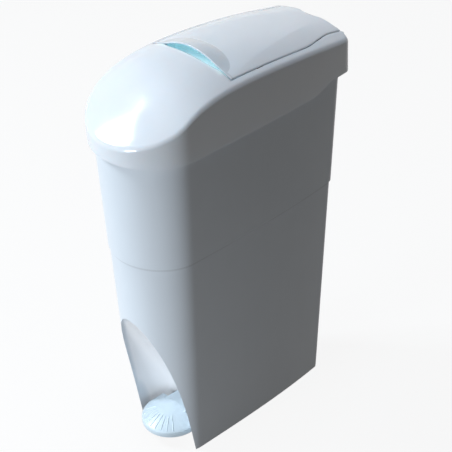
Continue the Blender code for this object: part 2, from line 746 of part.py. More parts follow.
def build_hood(material, parent):
    outer, outer_faces, count = hood_surface(0.0)
    inner, inner_faces, _ = hood_surface(HOOD_WALL)
    shift = len(outer)
    faces = outer_faces + [tuple(shift + v for v in face[::-1]) for face in inner_faces]
    for i in range(count):
        j = (i + 1) % count
        faces.append((i, shift + i, shift + j, j))
    hood = add_object("hood", outer + inner, faces, material, parent=parent)

    rows = [blend(SEAM_FRONT - SEAT_WALL, HOOD_BACK - 0.6 * HOOD_WALL, share) for share in SEAT_ROW_SHARES]
    frame = slab(
        "seat_frame",
        rows,
        lambda y: -seam_half_width(y) - SEAT_WALL,
        lambda y: seam_half_width(y) + SEAT_WALL,
        below_top(SEAT_DEPTH + SEAT_WALL),
        below_top(0.5 * HOOD_WALL),
        TOP_COLUMNS,
    )
    trough_half = trough_half_width()
    trough_end = SEAM_FRONT + FINGER_TROUGH_LENGTH
    trough_middle = SEAM_FRONT + FINGER_TROUGH_LENGTH / 2
    trough_start = SEAM_FRONT - FINGER_SLOPE_LENGTH
    slope_rows = [blend(trough_start, trough_middle, share) for share in (0, 0.2, 0.4, 0.6, 0.8, 1)]
    trough = slab(
        "trough_wall",
        [trough_start - SEAT_WALL, *slope_rows, trough_end, trough_end + SEAT_WALL],
        lambda y: -trough_half - SEAT_WALL,
        lambda y: trough_half + SEAT_WALL,
        lambda x, y: top_level(x, y) - trough_depth(x, y) - 0.3 * HOOD_WALL - SEAT_WALL,
        below_top(0.3 * HOOD_WALL),
        TOP_COLUMNS,
    )
    side_seat_end = HINGE_Y - SIDE_SEAT_SETBACK
    before = [y for y in rows[1:-1] if y < side_seat_end - SEAT_ROW_MARGIN]
    behind = [y for y in rows[1:-1] if y > side_seat_end + SEAT_ROW_MARGIN]
    seat_rows = [SEAM_FRONT, *before, side_seat_end - SEAT_ROW_MARGIN / 2, side_seat_end, *behind]
    seat_rows.append(HOOD_BACK + OVERRUN / 2)
    seat = slab(
        "flap_seat",
        seat_rows,
        lambda y: -seam_half_width(y),
        lambda y: seam_half_width(y),
        lambda x, y: HINGE_Z - NOTCH_DROP if y >= side_seat_end else top_level(x, y) - SEAT_DEPTH,
        below_top(-CUT_RISE),
        TOP_COLUMNS,
    )
    trough_space = slab(
        "finger_trough",
        [*slope_rows, trough_end],
        lambda y: -trough_half,
        lambda y: trough_half,
        lambda x, y: top_level(x, y) - trough_depth(x, y),
        below_top(-CUT_RISE),
        TOP_COLUMNS,
    )
    opening_rows = [blend(trough_end + SEAT_WALL, side_seat_end, share) for share in (0, 0.07, 0.37, 0.75, 0.88, 1)]
    opening = slab(
        "flap_opening",
        opening_rows,
        lambda y: -seam_half_width(y) + SEAT_WIDTH,
        lambda y: seam_half_width(y) - SEAT_WIDTH,
        below_top(CUT_DROP),
        below_top(-CUT_RISE),
        TOP_COLUMNS,
    )
    cheek_rows = [HINGE_Y - CHEEK_REACH, HINGE_Y, HINGE_Y + CHEEK_REACH]
    cheeks = []
    for side, sign in (("left", -1), ("right", 1)):
        inner = sign * (seam_half_width(HINGE_Y) - WELD)
        outer = sign * (seam_half_width(HINGE_Y) + CHEEK_THICKNESS)
        low, high = sorted((inner, outer))
        cheeks.append(
            slab(
                f"cheek_{side}",
                cheek_rows,
                lambda y, x=low: x,
                lambda y, x=high: x,
                lambda x, y: HINGE_Z - CHEEK_DROP,
                below_top(0.7 * HOOD_WALL),
                3,
            )
        )
    ribs = []
    for number, share in enumerate(STOP_RIB_SHARES, 1):
        y = hood_place(share)
        for side, sign in (("left", -1), ("right", 1)):
            wall = half_width_at(y) - 0.6 * HOOD_WALL
            reach = wall - STOP_RIB_REACH
            x_low, x_high = sorted((sign * reach, sign * wall))
            ribs.append(
                add_box(
                    f"stop_rib_{side}_{number}",
                    (x_low, y - STOP_RIB_THICKNESS / 2, BODY_TOP + LINER_THICKNESS + 2 * SEAT_GAP),
                    (x_high, y + STOP_RIB_THICKNESS / 2, shoulder_level(y) - STOP_RIB_DROP),
                )
            )
    join(hood, *cheeks, frame, trough, *ribs)
    cut(hood, seat, trough_space, opening)
    for side, sign in (("left", -1), ("right", 1)):
        inner = sign * (seam_half_width(HINGE_Y) - BUSH_RADIUS)
        outer = sign * (seam_half_width(HINGE_Y) + CHEEK_THICKNESS - BUSH_FLOOR)
        low, high = sorted((inner, outer))
        stations = [(low, BUSH_RADIUS + SEAT_GAP), (high, BUSH_RADIUS + SEAT_GAP)]
        cut(hood, turned(f"bush_bore_{side}", stations, (0.0, HINGE_Y, HINGE_Z), "X", ROUND_SIDES))
    return hood


def ridge_half_width(y):
    """The soft fold on the flap runs from the ends of the lip towards the middle of the back."""
    share = (y - SEAM_FRONT) / (HOOD_BACK - SEAM_FRONT)
    return blend(seam_half_width(SEAM_FRONT) - RIDGE_FRONT_INSET, RIDGE_BACK_HALF_WIDTH, share)


def flap_columns(y):
    """Places across the flap, with one column on each fold."""
    edge = seam_half_width(y) - FLAP_EDGE_GAP
    fold = min(ridge_half_width(y), edge - RIDGE_MARGIN)
    inner = [fold * k / 3 for k in range(4)]
    outer = [fold + (edge - fold) * k / 3 for k in range(1, 4)]
    right = inner + outer
    return [-x for x in right[:0:-1]] + right


def flap_top(x, y):
    """The flap's outer face: the hood's crown, the fold, and the lip that rises at the front."""
    edge = seam_half_width(y) - FLAP_EDGE_GAP
    fold = ridge_half_width(y)
    strength = RIDGE_HEIGHT * float(np.clip((edge - fold) / RIDGE_FADE, 0, 1))
    if abs(x) <= fold:
        fold_rise = strength * (abs(x) / fold) ** 2
    else:
        fold_rise = strength * max(0.0, (edge - abs(x)) / max(edge - fold, 1e-6))
    across = max(0.0, 1 - (x / LIP_HALF_WIDTH) ** 2) ** LIP_SIDE_POWER
    behind = (y - SEAM_FRONT) / max(valley_length(x), 1e-6)
    lip = LIP_RISE * across * max(0.0, 1 - behind) ** LIP_VALLEY_POWER
    return top_level(x, y) + fold_rise + lip


def valley_length(x):
    share = min(1.0, abs(x) / VALLEY_HALF_WIDTH)
    return LIP_VALLEY_LENGTH * max(0.02, 1 - share**2) ** VALLEY_SIDE_POWER


def build_flap(material, parent):
    front = SEAM_FRONT + FLAP_EDGE_GAP
    corner_y = HINGE_Y + FLAP_CORNER_SETBACK
    straight = [blend(SEAM_FRONT, corner_y, share) for share in FLAP_ROW_SHARES]
    shares = (0.0, 0.25, 0.5, 0.75, 1.0)
    lanes = len(flap_columns(0.0))
    outer_rows = []
    inner_rows = []
    for share in shares:
        row = []
        for lane in range(lanes):
            x = flap_columns(front)[lane]
            y = front + share * valley_length(x)
            x = flap_columns(y)[lane]
            row.append((x, y, flap_top(x, y)))
        outer_rows.append(row)
        inner_rows.append([(x, y, z - FLAP_THICKNESS) for x, y, z in row])
    for y in straight:
        row = [(x, y, flap_top(x, y)) for x in flap_columns(y)]
        outer_rows.append(row)
        inner_rows.append([(x, y, z - FLAP_THICKNESS) for x, y, z in row])
    for radius, drop, rows in (
        (FLAP_BACK_RADIUS, 0.0, outer_rows),
        (FLAP_BACK_RADIUS - FLAP_THICKNESS, FLAP_THICKNESS, inner_rows),
    ):
        height = [flap_top(x, corner_y) - drop - HINGE_Z for x in flap_columns(corner_y)]
        reach = [math.asin(min(1.0, h / radius)) for h in height]
        for share in (0.0, 0.25, 0.5, 0.75, 1.0):
            row = []
            for lane, start in enumerate(reach):
                angle = blend(start - FLAP_BACK_EASE_ANGLE, -FLAP_BACK_DROP_ANGLE, share)
                y = HINGE_Y + radius * math.cos(angle)
                x = flap_columns(min(y, HOOD_BACK))[lane]
                row.append((x, y, HINGE_Z + radius * math.sin(angle)))
            rows.append(row)
    rings = [outer + inner[::-1] for outer, inner in zip(outer_rows, inner_rows)]
    flap = add_object("flap", *loft(rings), material, (0.0, HINGE_Y, HINGE_Z), parent)

    pieces = []
    for share in KNUCKLE_SIDE_SHARES:
        x = share * seam_half_width(HINGE_Y)
        places = (HINGE_Y + FLAP_CORNER_SETBACK, HINGE_Y, HINGE_Y - KNUCKLE_FRONT_REACH)
        ceiling = [(y, flap_top(x, y) - FLAP_THICKNESS + WELD) for y in places]
        barrel = circle(KNUCKLE_RADIUS, ROUND_SIDES, (HINGE_Y, HINGE_Z), math.pi / ROUND_SIDES)
        lower = [p for p in barrel if p[1] <= HINGE_Z + KNUCKLE_RADIUS / 6]
        lower.sort(key=lambda p: math.atan2(p[1] - HINGE_Z - KNUCKLE_RADIUS / 3, p[0] - HINGE_Y))
        profile = ceiling + lower
        half = KNUCKLE_THICKNESS / 2
        pieces.append(extrude_profile(f"knuckle_{round(1000 * x)}", profile, x - half, x + half))
    nose = crank_nose()
    web_front = nose[0] - CRANK_WEB_FRONT_REACH
    web_back = nose[0] + CRANK_WEB_BACK_REACH
    web = [
        (web_front, flap_top(0.0, web_front) - FLAP_THICKNESS + WELD),
        (nose[0] - CRANK_NOSE_RADIUS, nose[1]),
        (nose[0], nose[1] - 0.875 * CRANK_NOSE_RADIUS),
        (nose[0] + CRANK_NOSE_RADIUS, nose[1]),
        (web_back, flap_top(0.0, web_back) - FLAP_THICKNESS + WELD),
    ]
    half = CRANK_WEB_THICKNESS / 2
    pieces.append(extrude_profile("crank_web", web, -half, half))
    pieces.append(
        turned(
            "crank_nose",
            [(-CRANK_HALF_WIDTH, CRANK_NOSE_RADIUS), (CRANK_HALF_WIDTH, CRANK_NOSE_RADIUS)],
            (0.0, *nose),
            "X",
            ROUND_SIDES,
        )
    )
    hang_y = HINGE_Y - TRAY_SETBACK
    for side, x in tray_boss_places().items():
        low = (x - TRAY_BOSS_HALF_WIDTH, hang_y - TRAY_BOSS_DEPTH, HINGE_Z + TRAY_TOP_RISE - TRAY_HANG_LENGTH)
        high = (
            x + TRAY_BOSS_HALF_WIDTH,
            hang_y - TRAY_THICKNESS - SEAT_GAP,
            flap_top(x, hang_y) - FLAP_THICKNESS + WELD,
        )
        pieces.append(add_box(f"tray_boss_{side}", low, high))
    join(flap, *pieces)
    bore = turned(
        "pin_bore",
        [(-seam_half_width(HINGE_Y), PIN_RADIUS + SEAT_GAP), (seam_half_width(HINGE_Y), PIN_RADIUS + SEAT_GAP)],
        (0.0, HINGE_Y, HINGE_Z),
        "X",
        SMALL_SIDES,
    )
    cut(flap, bore)
    for side in tray_boss_places():
        cut(flap, tray_screw_hole(side, "flap"))
    return flap


def crank_nose():
    """Centre of the crank's nose with the flap shut: half the opening angle below the level of the hinge."""
    half = FLAP_OPEN_ANGLE / 2
    return (HINGE_Y - crank_radius() * math.cos(half), HINGE_Z - crank_radius() * math.sin(half))


def tray_half_width():
    return TRAY_SIDE_SHARE * seam_half_width(HINGE_Y - TRAY_SETBACK)


def tray_boss_places():
    reach = TRAY_BOSS_SIDE_SHARE * tray_half_width()
    return {"left": -reach, "right": reach}


def tray_screw_place(side):
    return (tray_boss_places()[side], HINGE_Y - TRAY_SETBACK, HINGE_Z + TRAY_TOP_RISE - TRAY_SCREW_DROP)


def tray_screw_hole(side, owner):
    return turned(
        f"{owner}_screw_hole_{side}",
        [(-TRAY_SCREW_LENGTH - RUN_GAP, SCREW_RADIUS + SEAT_GAP), (2 * TRAY_THICKNESS, SCREW_RADIUS + SEAT_GAP)],
        tray_screw_place(side),
        "Y",
        SMALL_SIDES,
    )


def tray_path():
    """Centre line of the tray as it hangs: down behind the opening, round the bend, and forward and down."""
    hang = np.array([HINGE_Y - TRAY_SETBACK, HINGE_Z + TRAY_TOP_RISE])
    low_hang = hang - np.array([0.0, TRAY_HANG_LENGTH])
    bend = np.array([HINGE_Y - TRAY_BEND_SETBACK, HINGE_Z - TRAY_BEND_DROP])
    end = bend + TRAY_LENGTH * np.array([-math.sin(TRAY_SLOPE_ANGLE), -math.cos(TRAY_SLOPE_ANGLE)])
    into = (bend - low_hang) / np.linalg.norm(bend - low_hang)
    out = (end - bend) / np.linalg.norm(end - bend)
    points = [hang, low_hang]
    start = bend - TRAY_BEND_RADIUS * into
    stop = bend + TRAY_BEND_RADIUS * out
    for t in np.linspace(0, 1, 6):
        points.append((1 - t) ** 2 * start + 2 * t * (1 - t) * bend + t**2 * stop)
    points.append(end)
    points.append(end + TRAY_LIP_LENGTH * np.array([-math.sin(TRAY_LIP_ANGLE), -math.cos(TRAY_LIP_ANGLE)]))
    return points


def build_tray(material, parent):
    path = tray_path()
    half = tray_half_width()
    thick = TRAY_THICKNESS
    rings = []
    for k, point in enumerate(path):
        before = path[max(k - 1, 0)]
        after = path[min(k + 1, len(path) - 1)]
        along = (after - before) / np.linalg.norm(after - before)
        normal = np.array([along[1], -along[0]])
        side = TRAY_SIDE_HEIGHT * min(1.0, 0.25 + 0.25 * k)
        if k >= len(path) - 2:
            side = TRAY_SIDE_HEIGHT * 0.6
        section = [
            (-half, side),
            (-half, 0.0),
            (half, 0.0),
            (half, side),
            (half - thick, side),
            (half - thick, thick),
            (-half + thick, thick),
            (-half + thick, side),
        ]
        rings.append([(x, *(point + h * normal)) for x, h in section])
    tray = add_object("modesty_tray", *loft(rings), material, (0.0, HINGE_Y, HINGE_Z), parent)
    for side in tray_boss_places():
        cut(tray, tray_screw_hole(side, "tray"))
    return tray


def add_screw(name, centre, axis, direction, material, length=SCREW_LENGTH, parent=None):
    """A pan-head screw. The centre is under its head, and the direction is where the shank points."""
    stations = [
        (-direction * SCREW_HEAD_HEIGHT, SCREW_HEAD_RADIUS * 0.75),
        (-direction * SCREW_HEAD_HEIGHT * 0.6, SCREW_HEAD_RADIUS),
        (0.0, SCREW_HEAD_RADIUS),
        (0.0, SCREW_RADIUS),
        (direction * length, SCREW_RADIUS),
    ]
    return turned(name, stations, centre, axis, SMALL_SIDES, material, origin=centre, parent=parent)


def build_hinge(steel, nylon, parent):
    side_place = seam_half_width(HINGE_Y)
    half = side_place + CHEEK_THICKNESS - 2 * BUSH_FLOOR
    turned(
        "flap_hinge_pin",
        [(-half, PIN_RADIUS), (half, PIN_RADIUS)],
        (0.0, HINGE_Y, HINGE_Z),
        "X",
        SMALL_SIDES,
        steel,
        origin=(0.0, HINGE_Y, HINGE_Z),
        parent=parent,
    )
    for side, sign in (("left", -1), ("right", 1)):
        inner = sign * (side_place + RUN_GAP)
        outer = sign * (side_place + CHEEK_THICKNESS - BUSH_FLOOR - SEAT_GAP)
        low, high = sorted((inner, outer))
        turned_ring(
            f"hinge_bush_{side}",
            low,
            high,
            BUSH_RADIUS,
            BUSH_BORE,
            (0.0, HINGE_Y, HINGE_Z),
            "X",
            ROUND_SIDES,
            nylon,
            origin=(0.0, HINGE_Y, HINGE_Z),
            parent=parent,
        )


def build_buffers(rubber, parent):
    """Two rubber dots on the side seats, which the shut flap rests on."""
    for side, sign in (("left", -1), ("right", 1)):
        y_middle = hood_place(BUFFER_LENGTH_SHARE)
        centre = seam_half_width(y_middle) - BUFFER_INSET
        low, high = sorted((sign * (centre - BUFFER_HALF_WIDTH), sign * (centre + BUFFER_HALF_WIDTH)))
        buffer = slab(
            f"flap_buffer_{side}",
            [y_middle - BUFFER_HALF_LENGTH, y_middle, y_middle + BUFFER_HALF_LENGTH],
            lambda y, x=low: x,
            lambda y, x=high: x,
            below_top(SEAT_DEPTH - SEAT_GAP),
            lambda x, y: flap_top(x, y) - FLAP_THICKNESS - SEAT_GAP - SKIN,
            3,
        )
        buffer.data.materials.append(rubber)
        buffer.parent = parent
        buffer.location = tuple(-np.array(parent.location))


def build_rod(steel, nylon, parent):
    nose = crank_nose()
    tip_top = nose[1] - CRANK_NOSE_RADIUS - SEAT_GAP
    foot_bottom = arm_nose()[1] + ARM_NOSE_RADIUS + SEAT_GAP
    rod_low = foot_bottom + ROD_END_COVER
    rod_high = tip_top - ROD_END_COVER
    base = (0.0, rod_place(), 0.0)
    origin = (0.0, rod_place(), foot_bottom)
    turned(
        "push_rod",
        [(rod_low, ROD_RADIUS), (rod_high, ROD_RADIUS)],
        base,
        "Z",
        SMALL_SIDES,
        steel,
        origin=origin,
        parent=parent,
    )
    tip = turned(
        "rod_tip",
        [
            (tip_top - ROD_TIP_HEIGHT, ROD_RADIUS + ROD_SOCKET_WALL),
            (tip_top - 0.3 * ROD_TIP_HEIGHT, ROD_TIP_RADIUS),
            (tip_top, ROD_TIP_RADIUS),
        ],
        base,
        "Z",
        ROUND_SIDES,
        nylon,
        origin=origin,
        parent=parent,
    )
    foot = turned(
        "rod_foot",
        [
            (foot_bottom, 0.3 * ROD_FOOT_RADIUS),
            (foot_bottom + 0.15 * ROD_FOOT_HEIGHT, 0.75 * ROD_FOOT_RADIUS),
            (foot_bottom + 0.4 * ROD_FOOT_HEIGHT, ROD_FOOT_RADIUS),
            (foot_bottom + ROD_FOOT_HEIGHT, ROD_RADIUS + ROD_SOCKET_WALL),
        ],
        base,
        "Z",
        ROUND_SIDES,
        nylon,
        origin=origin,
        parent=parent,
    )
    socket_radius = ROD_RADIUS + SEAT_GAP
    high_stations = [(tip_top - ROD_TIP_HEIGHT - OVERRUN, socket_radius), (rod_high + SEAT_GAP, socket_radius)]
    high_socket = turned("tip_socket", high_stations, base, "Z", SMALL_SIDES)
    low_stations = [(rod_low - SEAT_GAP, socket_radius), (foot_bottom + ROD_FOOT_HEIGHT + OVERRUN, socket_radius)]
    low_socket = turned("foot_socket", low_stations, base, "Z", SMALL_SIDES)
    cut(tip, high_socket)
    cut(foot, low_socket)


def build_rod_guides(plastic, nylon, steel):
    rod_y = rod_place()
    axis_foot = (0.0, rod_y, 0.0)
    turned_ring("rod_tube", TUBE_BOTTOM, TUBE_TOP, TUBE_RADIUS, TUBE_BORE, axis_foot, "Z", ROUND_SIDES, plastic)
    for number, (name, level) in enumerate(zip(("lower", "upper"), CLIP_LEVELS), 1):
        face = back_wall(level) - CLIP_PAD_DEPTH - SEAT_GAP
        lean = (TOP_BACK - BASE_BACK) / SKIRT_LEVEL
        low = level - CLIP_HALF_HEIGHT
        high = level + CLIP_HALF_HEIGHT
        y_low = face - lean * CLIP_HALF_HEIGHT
        y_high = face + lean * CLIP_HALF_HEIGHT
        plate = [
            (y_low, low),
            (y_high, high),
            (y_high - CLIP_PLATE_THICKNESS, high),
            (y_low - CLIP_PLATE_THICKNESS, low),
        ]
        clip = extrude_profile(f"tube_clip_{name}", plate, -CLIP_PAD_HALF_WIDTH, CLIP_PAD_HALF_WIDTH, nylon)
        neck = [(rod_y, low), (y_low - WELD, low), (y_high - WELD, high), (rod_y, high)]
        join(
            clip,
            extrude_profile(f"clip_neck_{number}", neck, -TUBE_RADIUS, TUBE_RADIUS),
            turned(
                f"clip_ring_{number}",
                [(low, CLIP_RING_RADIUS), (high, CLIP_RING_RADIUS)],
                axis_foot,
                "Z",
                ROUND_SIDES,
            ),
        )
        cut(
            clip,
            turned(
                f"clip_bore_{number}",
                [(low - WELD, TUBE_RADIUS + SEAT_GAP), (high + WELD, TUBE_RADIUS + SEAT_GAP)],
                axis_foot,
                "Z",
                ROUND_SIDES,
            ),
        )
        for side, sign in (("left", -1), ("right", 1)):
            x = sign * CLIP_SCREW_SPREAD
            y_head = face - CLIP_PLATE_THICKNESS
            hole = [(-CLIP_PAD_DEPTH, SCREW_RADIUS + SEAT_GAP), (CLIP_SCREW_LENGTH + SEAT_GAP, SCREW_RADIUS + SEAT_GAP)]
            centre = (x, y_head, level)
            cut(clip, turned(f"clip_hole_{name}_{side}", hole, centre, "Y", SMALL_SIDES))
            cut(bpy.data.objects["body"], turned(f"pad_hole_{name}_{side}", hole, centre, "Y", SMALL_SIDES))
            head = (x, y_head - SEAT_GAP, level)
            add_screw(f"clip_screw_{name}_{side}", head, "Y", 1, steel, CLIP_SCREW_LENGTH)


def arm_nose():
    """Centre of the nose at the arm's back end, half the pedal's swing below the axle."""
    return (rod_place(), AXLE_Z - rod_rise() / 2)


def pedal_swing():
    """The pedal's angle from rest to the flap fully open."""
    return 2 * math.atan(rod_rise() / 2 / (rod_place() - AXLE_Y))


def hull_of_circles(first, first_radius, second, second_radius, steps=8):
    """Outline of a bar with a round end at each circle."""
    d = np.array(second) - np.array(first)
    heading = math.atan2(d[1], d[0])
    lean = math.asin((first_radius - second_radius) / np.linalg.norm(d))
    points = []
    for k in range(steps + 1):
        a = heading + math.pi / 2 - lean + (math.pi + 2 * lean) * k / steps
        points.append((first[0] + first_radius * math.cos(a), first[1] + first_radius * math.sin(a)))
    for k in range(steps + 1):
        a = heading - math.pi / 2 + lean + (math.pi - 2 * lean) * k / steps
        points.append((second[0] + second_radius * math.cos(a), second[1] + second_radius * math.sin(a)))
    return points


def pad_outline(inset, rib):
    """Plan of the pedal's pad: a tongue with raised ribs round its nose."""
    radius = PAD_HALF_WIDTH - inset
    points = []
    half_rib = math.radians(1.8)
    angles = []
    for k in range(PAD_RIB_COUNT):
        middle = (k - (PAD_RIB_COUNT - 1) / 2) * PAD_RIB_SPACING
        angles += [(middle - half_rib, 0.0), (middle - half_rib / 2, 1.0), (middle + half_rib / 2, 1.0)]
        angles += [(middle + half_rib, 0.0), (middle + PAD_RIB_SPACING / 2, 0.0)]
    angles = angles[:-1]
    for angle, bump in angles:
        reach = radius + bump * rib
        points.append((reach * math.sin(angle), PAD_CENTRE_Y - reach * math.cos(angle)))
    back = PAD_BACK_Y - inset
    return [(-radius, back), *points, (radius, back)]


def build_pedal(plastic, parent):
    ribs = (0.0, PAD_RIB_HEIGHT, PAD_RIB_HEIGHT, 0.0, 0.0, 0.0)
    rings = []
    for level_share, inset_share, rib in zip(PAD_LEVEL_SHARES, PAD_INSET_SHARES, ribs):
        level = PAD_BOTTOM + level_share * PAD_HEIGHT
        rings.append([(x, y, level) for x, y in pad_outline(inset_share * PAD_TOP_INSET, rib)])
    pedal = add_object("pedal", *loft(rings), plastic, (0.0, AXLE_Y, AXLE_Z), parent)
    straight, top = (PAD_BOTTOM + share * PAD_HEIGHT for share in PAD_POCKET_SHARES)
    pocket_levels = [(PAD_BOTTOM - OVERRUN, PAD_WALL), (straight, PAD_WALL), (top, PAD_POCKET_TOP_INSET)]
    pocket = [[(x, y, level) for x, y in pad_outline(inset, 0.0)] for level, inset in pocket_levels]
    cut(pedal, add_object("pad_pocket", *loft(pocket)))
    neck_low = AXLE_Z - NECK_DROP
    neck_high = AXLE_Z + NECK_RISE
    neck_front = PAD_CENTRE_Y + NECK_SETBACK
    neck = [(neck_front, neck_low), (AXLE_Y, neck_low - WELD), (AXLE_Y, neck_high), (neck_front, neck_high)]
    join(pedal, extrude_profile("pedal_neck", neck, -NECK_HALF_WIDTH, NECK_HALF_WIDTH))
    hub = turned(
        "pedal_hub",
        [(-HUB_HALF_WIDTH, HUB_RADIUS), (HUB_HALF_WIDTH, HUB_RADIUS)],
        (0.0, AXLE_Y, AXLE_Z),
        "X",
        ROUND_SIDES,
    )
    arm_profile = hull_of_circles((AXLE_Y, AXLE_Z), HUB_RADIUS - ARM_HUB_INSET, arm_nose(), ARM_NOSE_RADIUS)
    arm = extrude_profile("pedal_arm", arm_profile, -ARM_HALF_WIDTH, ARM_HALF_WIDTH)
    join(pedal, hub, arm)
    bore = turned(
        "axle_bore",
        [(-HUB_HALF_WIDTH - WELD, AXLE_RADIUS + SEAT_GAP), (HUB_HALF_WIDTH + WELD, AXLE_RADIUS + SEAT_GAP)],
        (0.0, AXLE_Y, AXLE_Z),
        "X",
        ROUND_SIDES,
    )
    cut(pedal, bore)
    return pedal


def build_axle(steel, nylon):
    turned(
        "pedal_axle",
        [(-BEARING_OUTER - AXLE_END_REACH, AXLE_RADIUS), (BEARING_OUTER + AXLE_END_REACH, AXLE_RADIUS)],
        (0.0, AXLE_Y, AXLE_Z),
        "X",
        ROUND_SIDES,
        steel,
        origin=(0.0, AXLE_Y, AXLE_Z),
    )
    low = PLATE_THICKNESS + SEAT_GAP
    for side, sign in (("left", -1), ("right", 1)):
        x_low, x_high = sorted((sign * BEARING_INNER, sign * BEARING_OUTER))
        arch = [
            (AXLE_Y + BEARING_HALF_LENGTH * math.cos(a), AXLE_Z + BEARING_HALF_LENGTH * math.sin(a))
            for a in np.linspace(0, math.pi, 9)
        ]
        profile = [(AXLE_Y - BEARING_HALF_LENGTH, low), (AXLE_Y + BEARING_HALF_LENGTH, low), *arch]
        bearing = extrude_profile(f"axle_bearing_{side}", profile, x_low, x_high, nylon)
        bore = turned(
            f"bearing_bore_{side}",
            [(x_low - WELD, AXLE_RADIUS + SEAT_GAP), (x_high + WELD, AXLE_RADIUS + SEAT_GAP)],
            (0.0, AXLE_Y, AXLE_Z),
            "X",
            ROUND_SIDES,
        )
        hole = turned(
            f"bearing_hole_{side}",
            [(0.0, SCREW_RADIUS + SEAT_GAP), (SCREW_LENGTH + SCREW_HOLE_CLEARANCE, SCREW_RADIUS + SEAT_GAP)],
            (sign * (BEARING_INNER + BEARING_OUTER) / 2, AXLE_Y, 0.0),
            "Z",
            SMALL_SIDES,
        )
        cut(bearing, bore, hole)


def plate_screw_places():
    places = {f"plate_screw_{n}": place for n, place in enumerate(boss_places(), 1)}
    middle = (BEARING_INNER + BEARING_OUTER) / 2
    places["bearing_screw_left"] = (-middle, AXLE_Y)
    places["bearing_screw_right"] = (middle, AXLE_Y)
    return places


def build_base(plastic, steel, rubber):
    half = body_half(0.0, STEP_INSET + BODY_WALL + SEAT_GAP + SKIN)
    outline = full_plan(half)
    rings = [[(x, y, level) for x, y in outline] for level in (0.0, PLATE_THICKNESS)]
    plate = add_object("base_plate", *loft(rings), plastic)
    side = BASE_HALF_WIDTH + OVERRUN
    front = add_box("plate_front", (-side, BASE_FRONT - OVERRUN, -OVERRUN), (side, PLATE_FRONT, OVERRUN))
    cut(plate, front)
    head_seat = SCREW_HEAD_HEIGHT + SEAT_GAP
    for name, (x, y) in plate_screw_places().items():
        well = turned(
            f"{name}_well",
            [
                (-OVERRUN, SCREW_HEAD_RADIUS + SEAT_GAP),
                (head_seat, SCREW_HEAD_RADIUS + SEAT_GAP),
                (head_seat, SCREW_RADIUS + SEAT_GAP),
                (OVERRUN, SCREW_RADIUS + SEAT_GAP),
            ],
            (x, y, 0.0),
            "Z",
            SMALL_SIDES,
        )
        cut(plate, well)
        add_screw(name, (x, y, SCREW_HEAD_HEIGHT), "Z", 1, steel)
    nose = arm_nose()
    buffer_y = nose[0] - ARM_BUFFER_SETBACK
    share = (buffer_y + ARM_BUFFER_RADIUS - AXLE_Y) / (nose[0] - AXLE_Y)
    arm_low = blend(AXLE_Z - HUB_RADIUS + ARM_HUB_INSET, nose[1] - ARM_NOSE_RADIUS, share)
    turned(
        "arm_buffer",
        [(PLATE_THICKNESS + SEAT_GAP, ARM_BUFFER_RADIUS), (arm_low - SEAT_GAP, ARM_BUFFER_RADIUS)],
        (0.0, buffer_y, 0.0),
        "Z",
        ROUND_SIDES,
        rubber,
    )


def build_tray_screws(steel, parent):
    for side in tray_boss_places():
        x, y, z = tray_screw_place(side)
        centre = (x, y + SEAT_GAP, z)
        add_screw(f"tray_screw_{side}", centre, "Y", -1, steel, TRAY_SCREW_LENGTH, parent)


def build_all():
    clear_scene()
    white = make_material("hood_white", (0.80, 0.85, 0.90), 0.22)
    body_white = make_material("body_white", (0.78, 0.83, 0.88), 0.32)
    inner_white = make_material("inner_white", (0.72, 0.78, 0.82), 0.45)
    pale_blue = make_material("pedal_white", (0.74, 0.86, 0.93), 0.35)
    nylon = make_material("nylon", (0.70, 0.70, 0.66), 0.45)
    rubber = make_material("rubber", (0.05, 0.05, 0.055), 0.75)
    steel = make_material("steel", (0.62, 0.63, 0.65), 0.30, 1.0)
    grey = make_material("base_grey", (0.42, 0.44, 0.46), 0.50)

    hood_joint = add_joint("hood_lift", (0.0, 0.0, SKIRT_LEVEL))
    flap_joint = add_joint("flap_hinge", (0.0, HINGE_Y, HINGE_Z))
    rod_joint = add_joint("rod_slide", (0.0, rod_place(), AXLE_Z))
    pedal_joint = add_joint("pedal_hinge", (0.0, AXLE_Y, AXLE_Z))

    build_body(body_white)
    build_liner_ring(inner_white)
    build_hood(white, hood_joint)
    build_flap(white, flap_joint)
    build_tray(inner_white, flap_joint)
    build_tray_screws(steel, flap_joint)
    build_hinge(steel, nylon, hood_joint)
    build_buffers(rubber, hood_joint)
    build_rod(steel, nylon, rod_joint)
    build_rod_guides(inner_white, nylon, steel)
    build_pedal(pale_blue, pedal_joint)
    build_axle(steel, nylon)
    build_base(grey, steel, rubber)
    print(f"pedal swing {math.degrees(pedal_swing()):.4f} degrees")
    print(f"rod rise {1000 * rod_rise():.4f} mm")


build_all()
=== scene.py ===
"""Looks of the pedal-operated sanitary container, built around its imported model."""

import math

import bmesh
import bpy
import numpy as np
from mathutils import Matrix, Vector


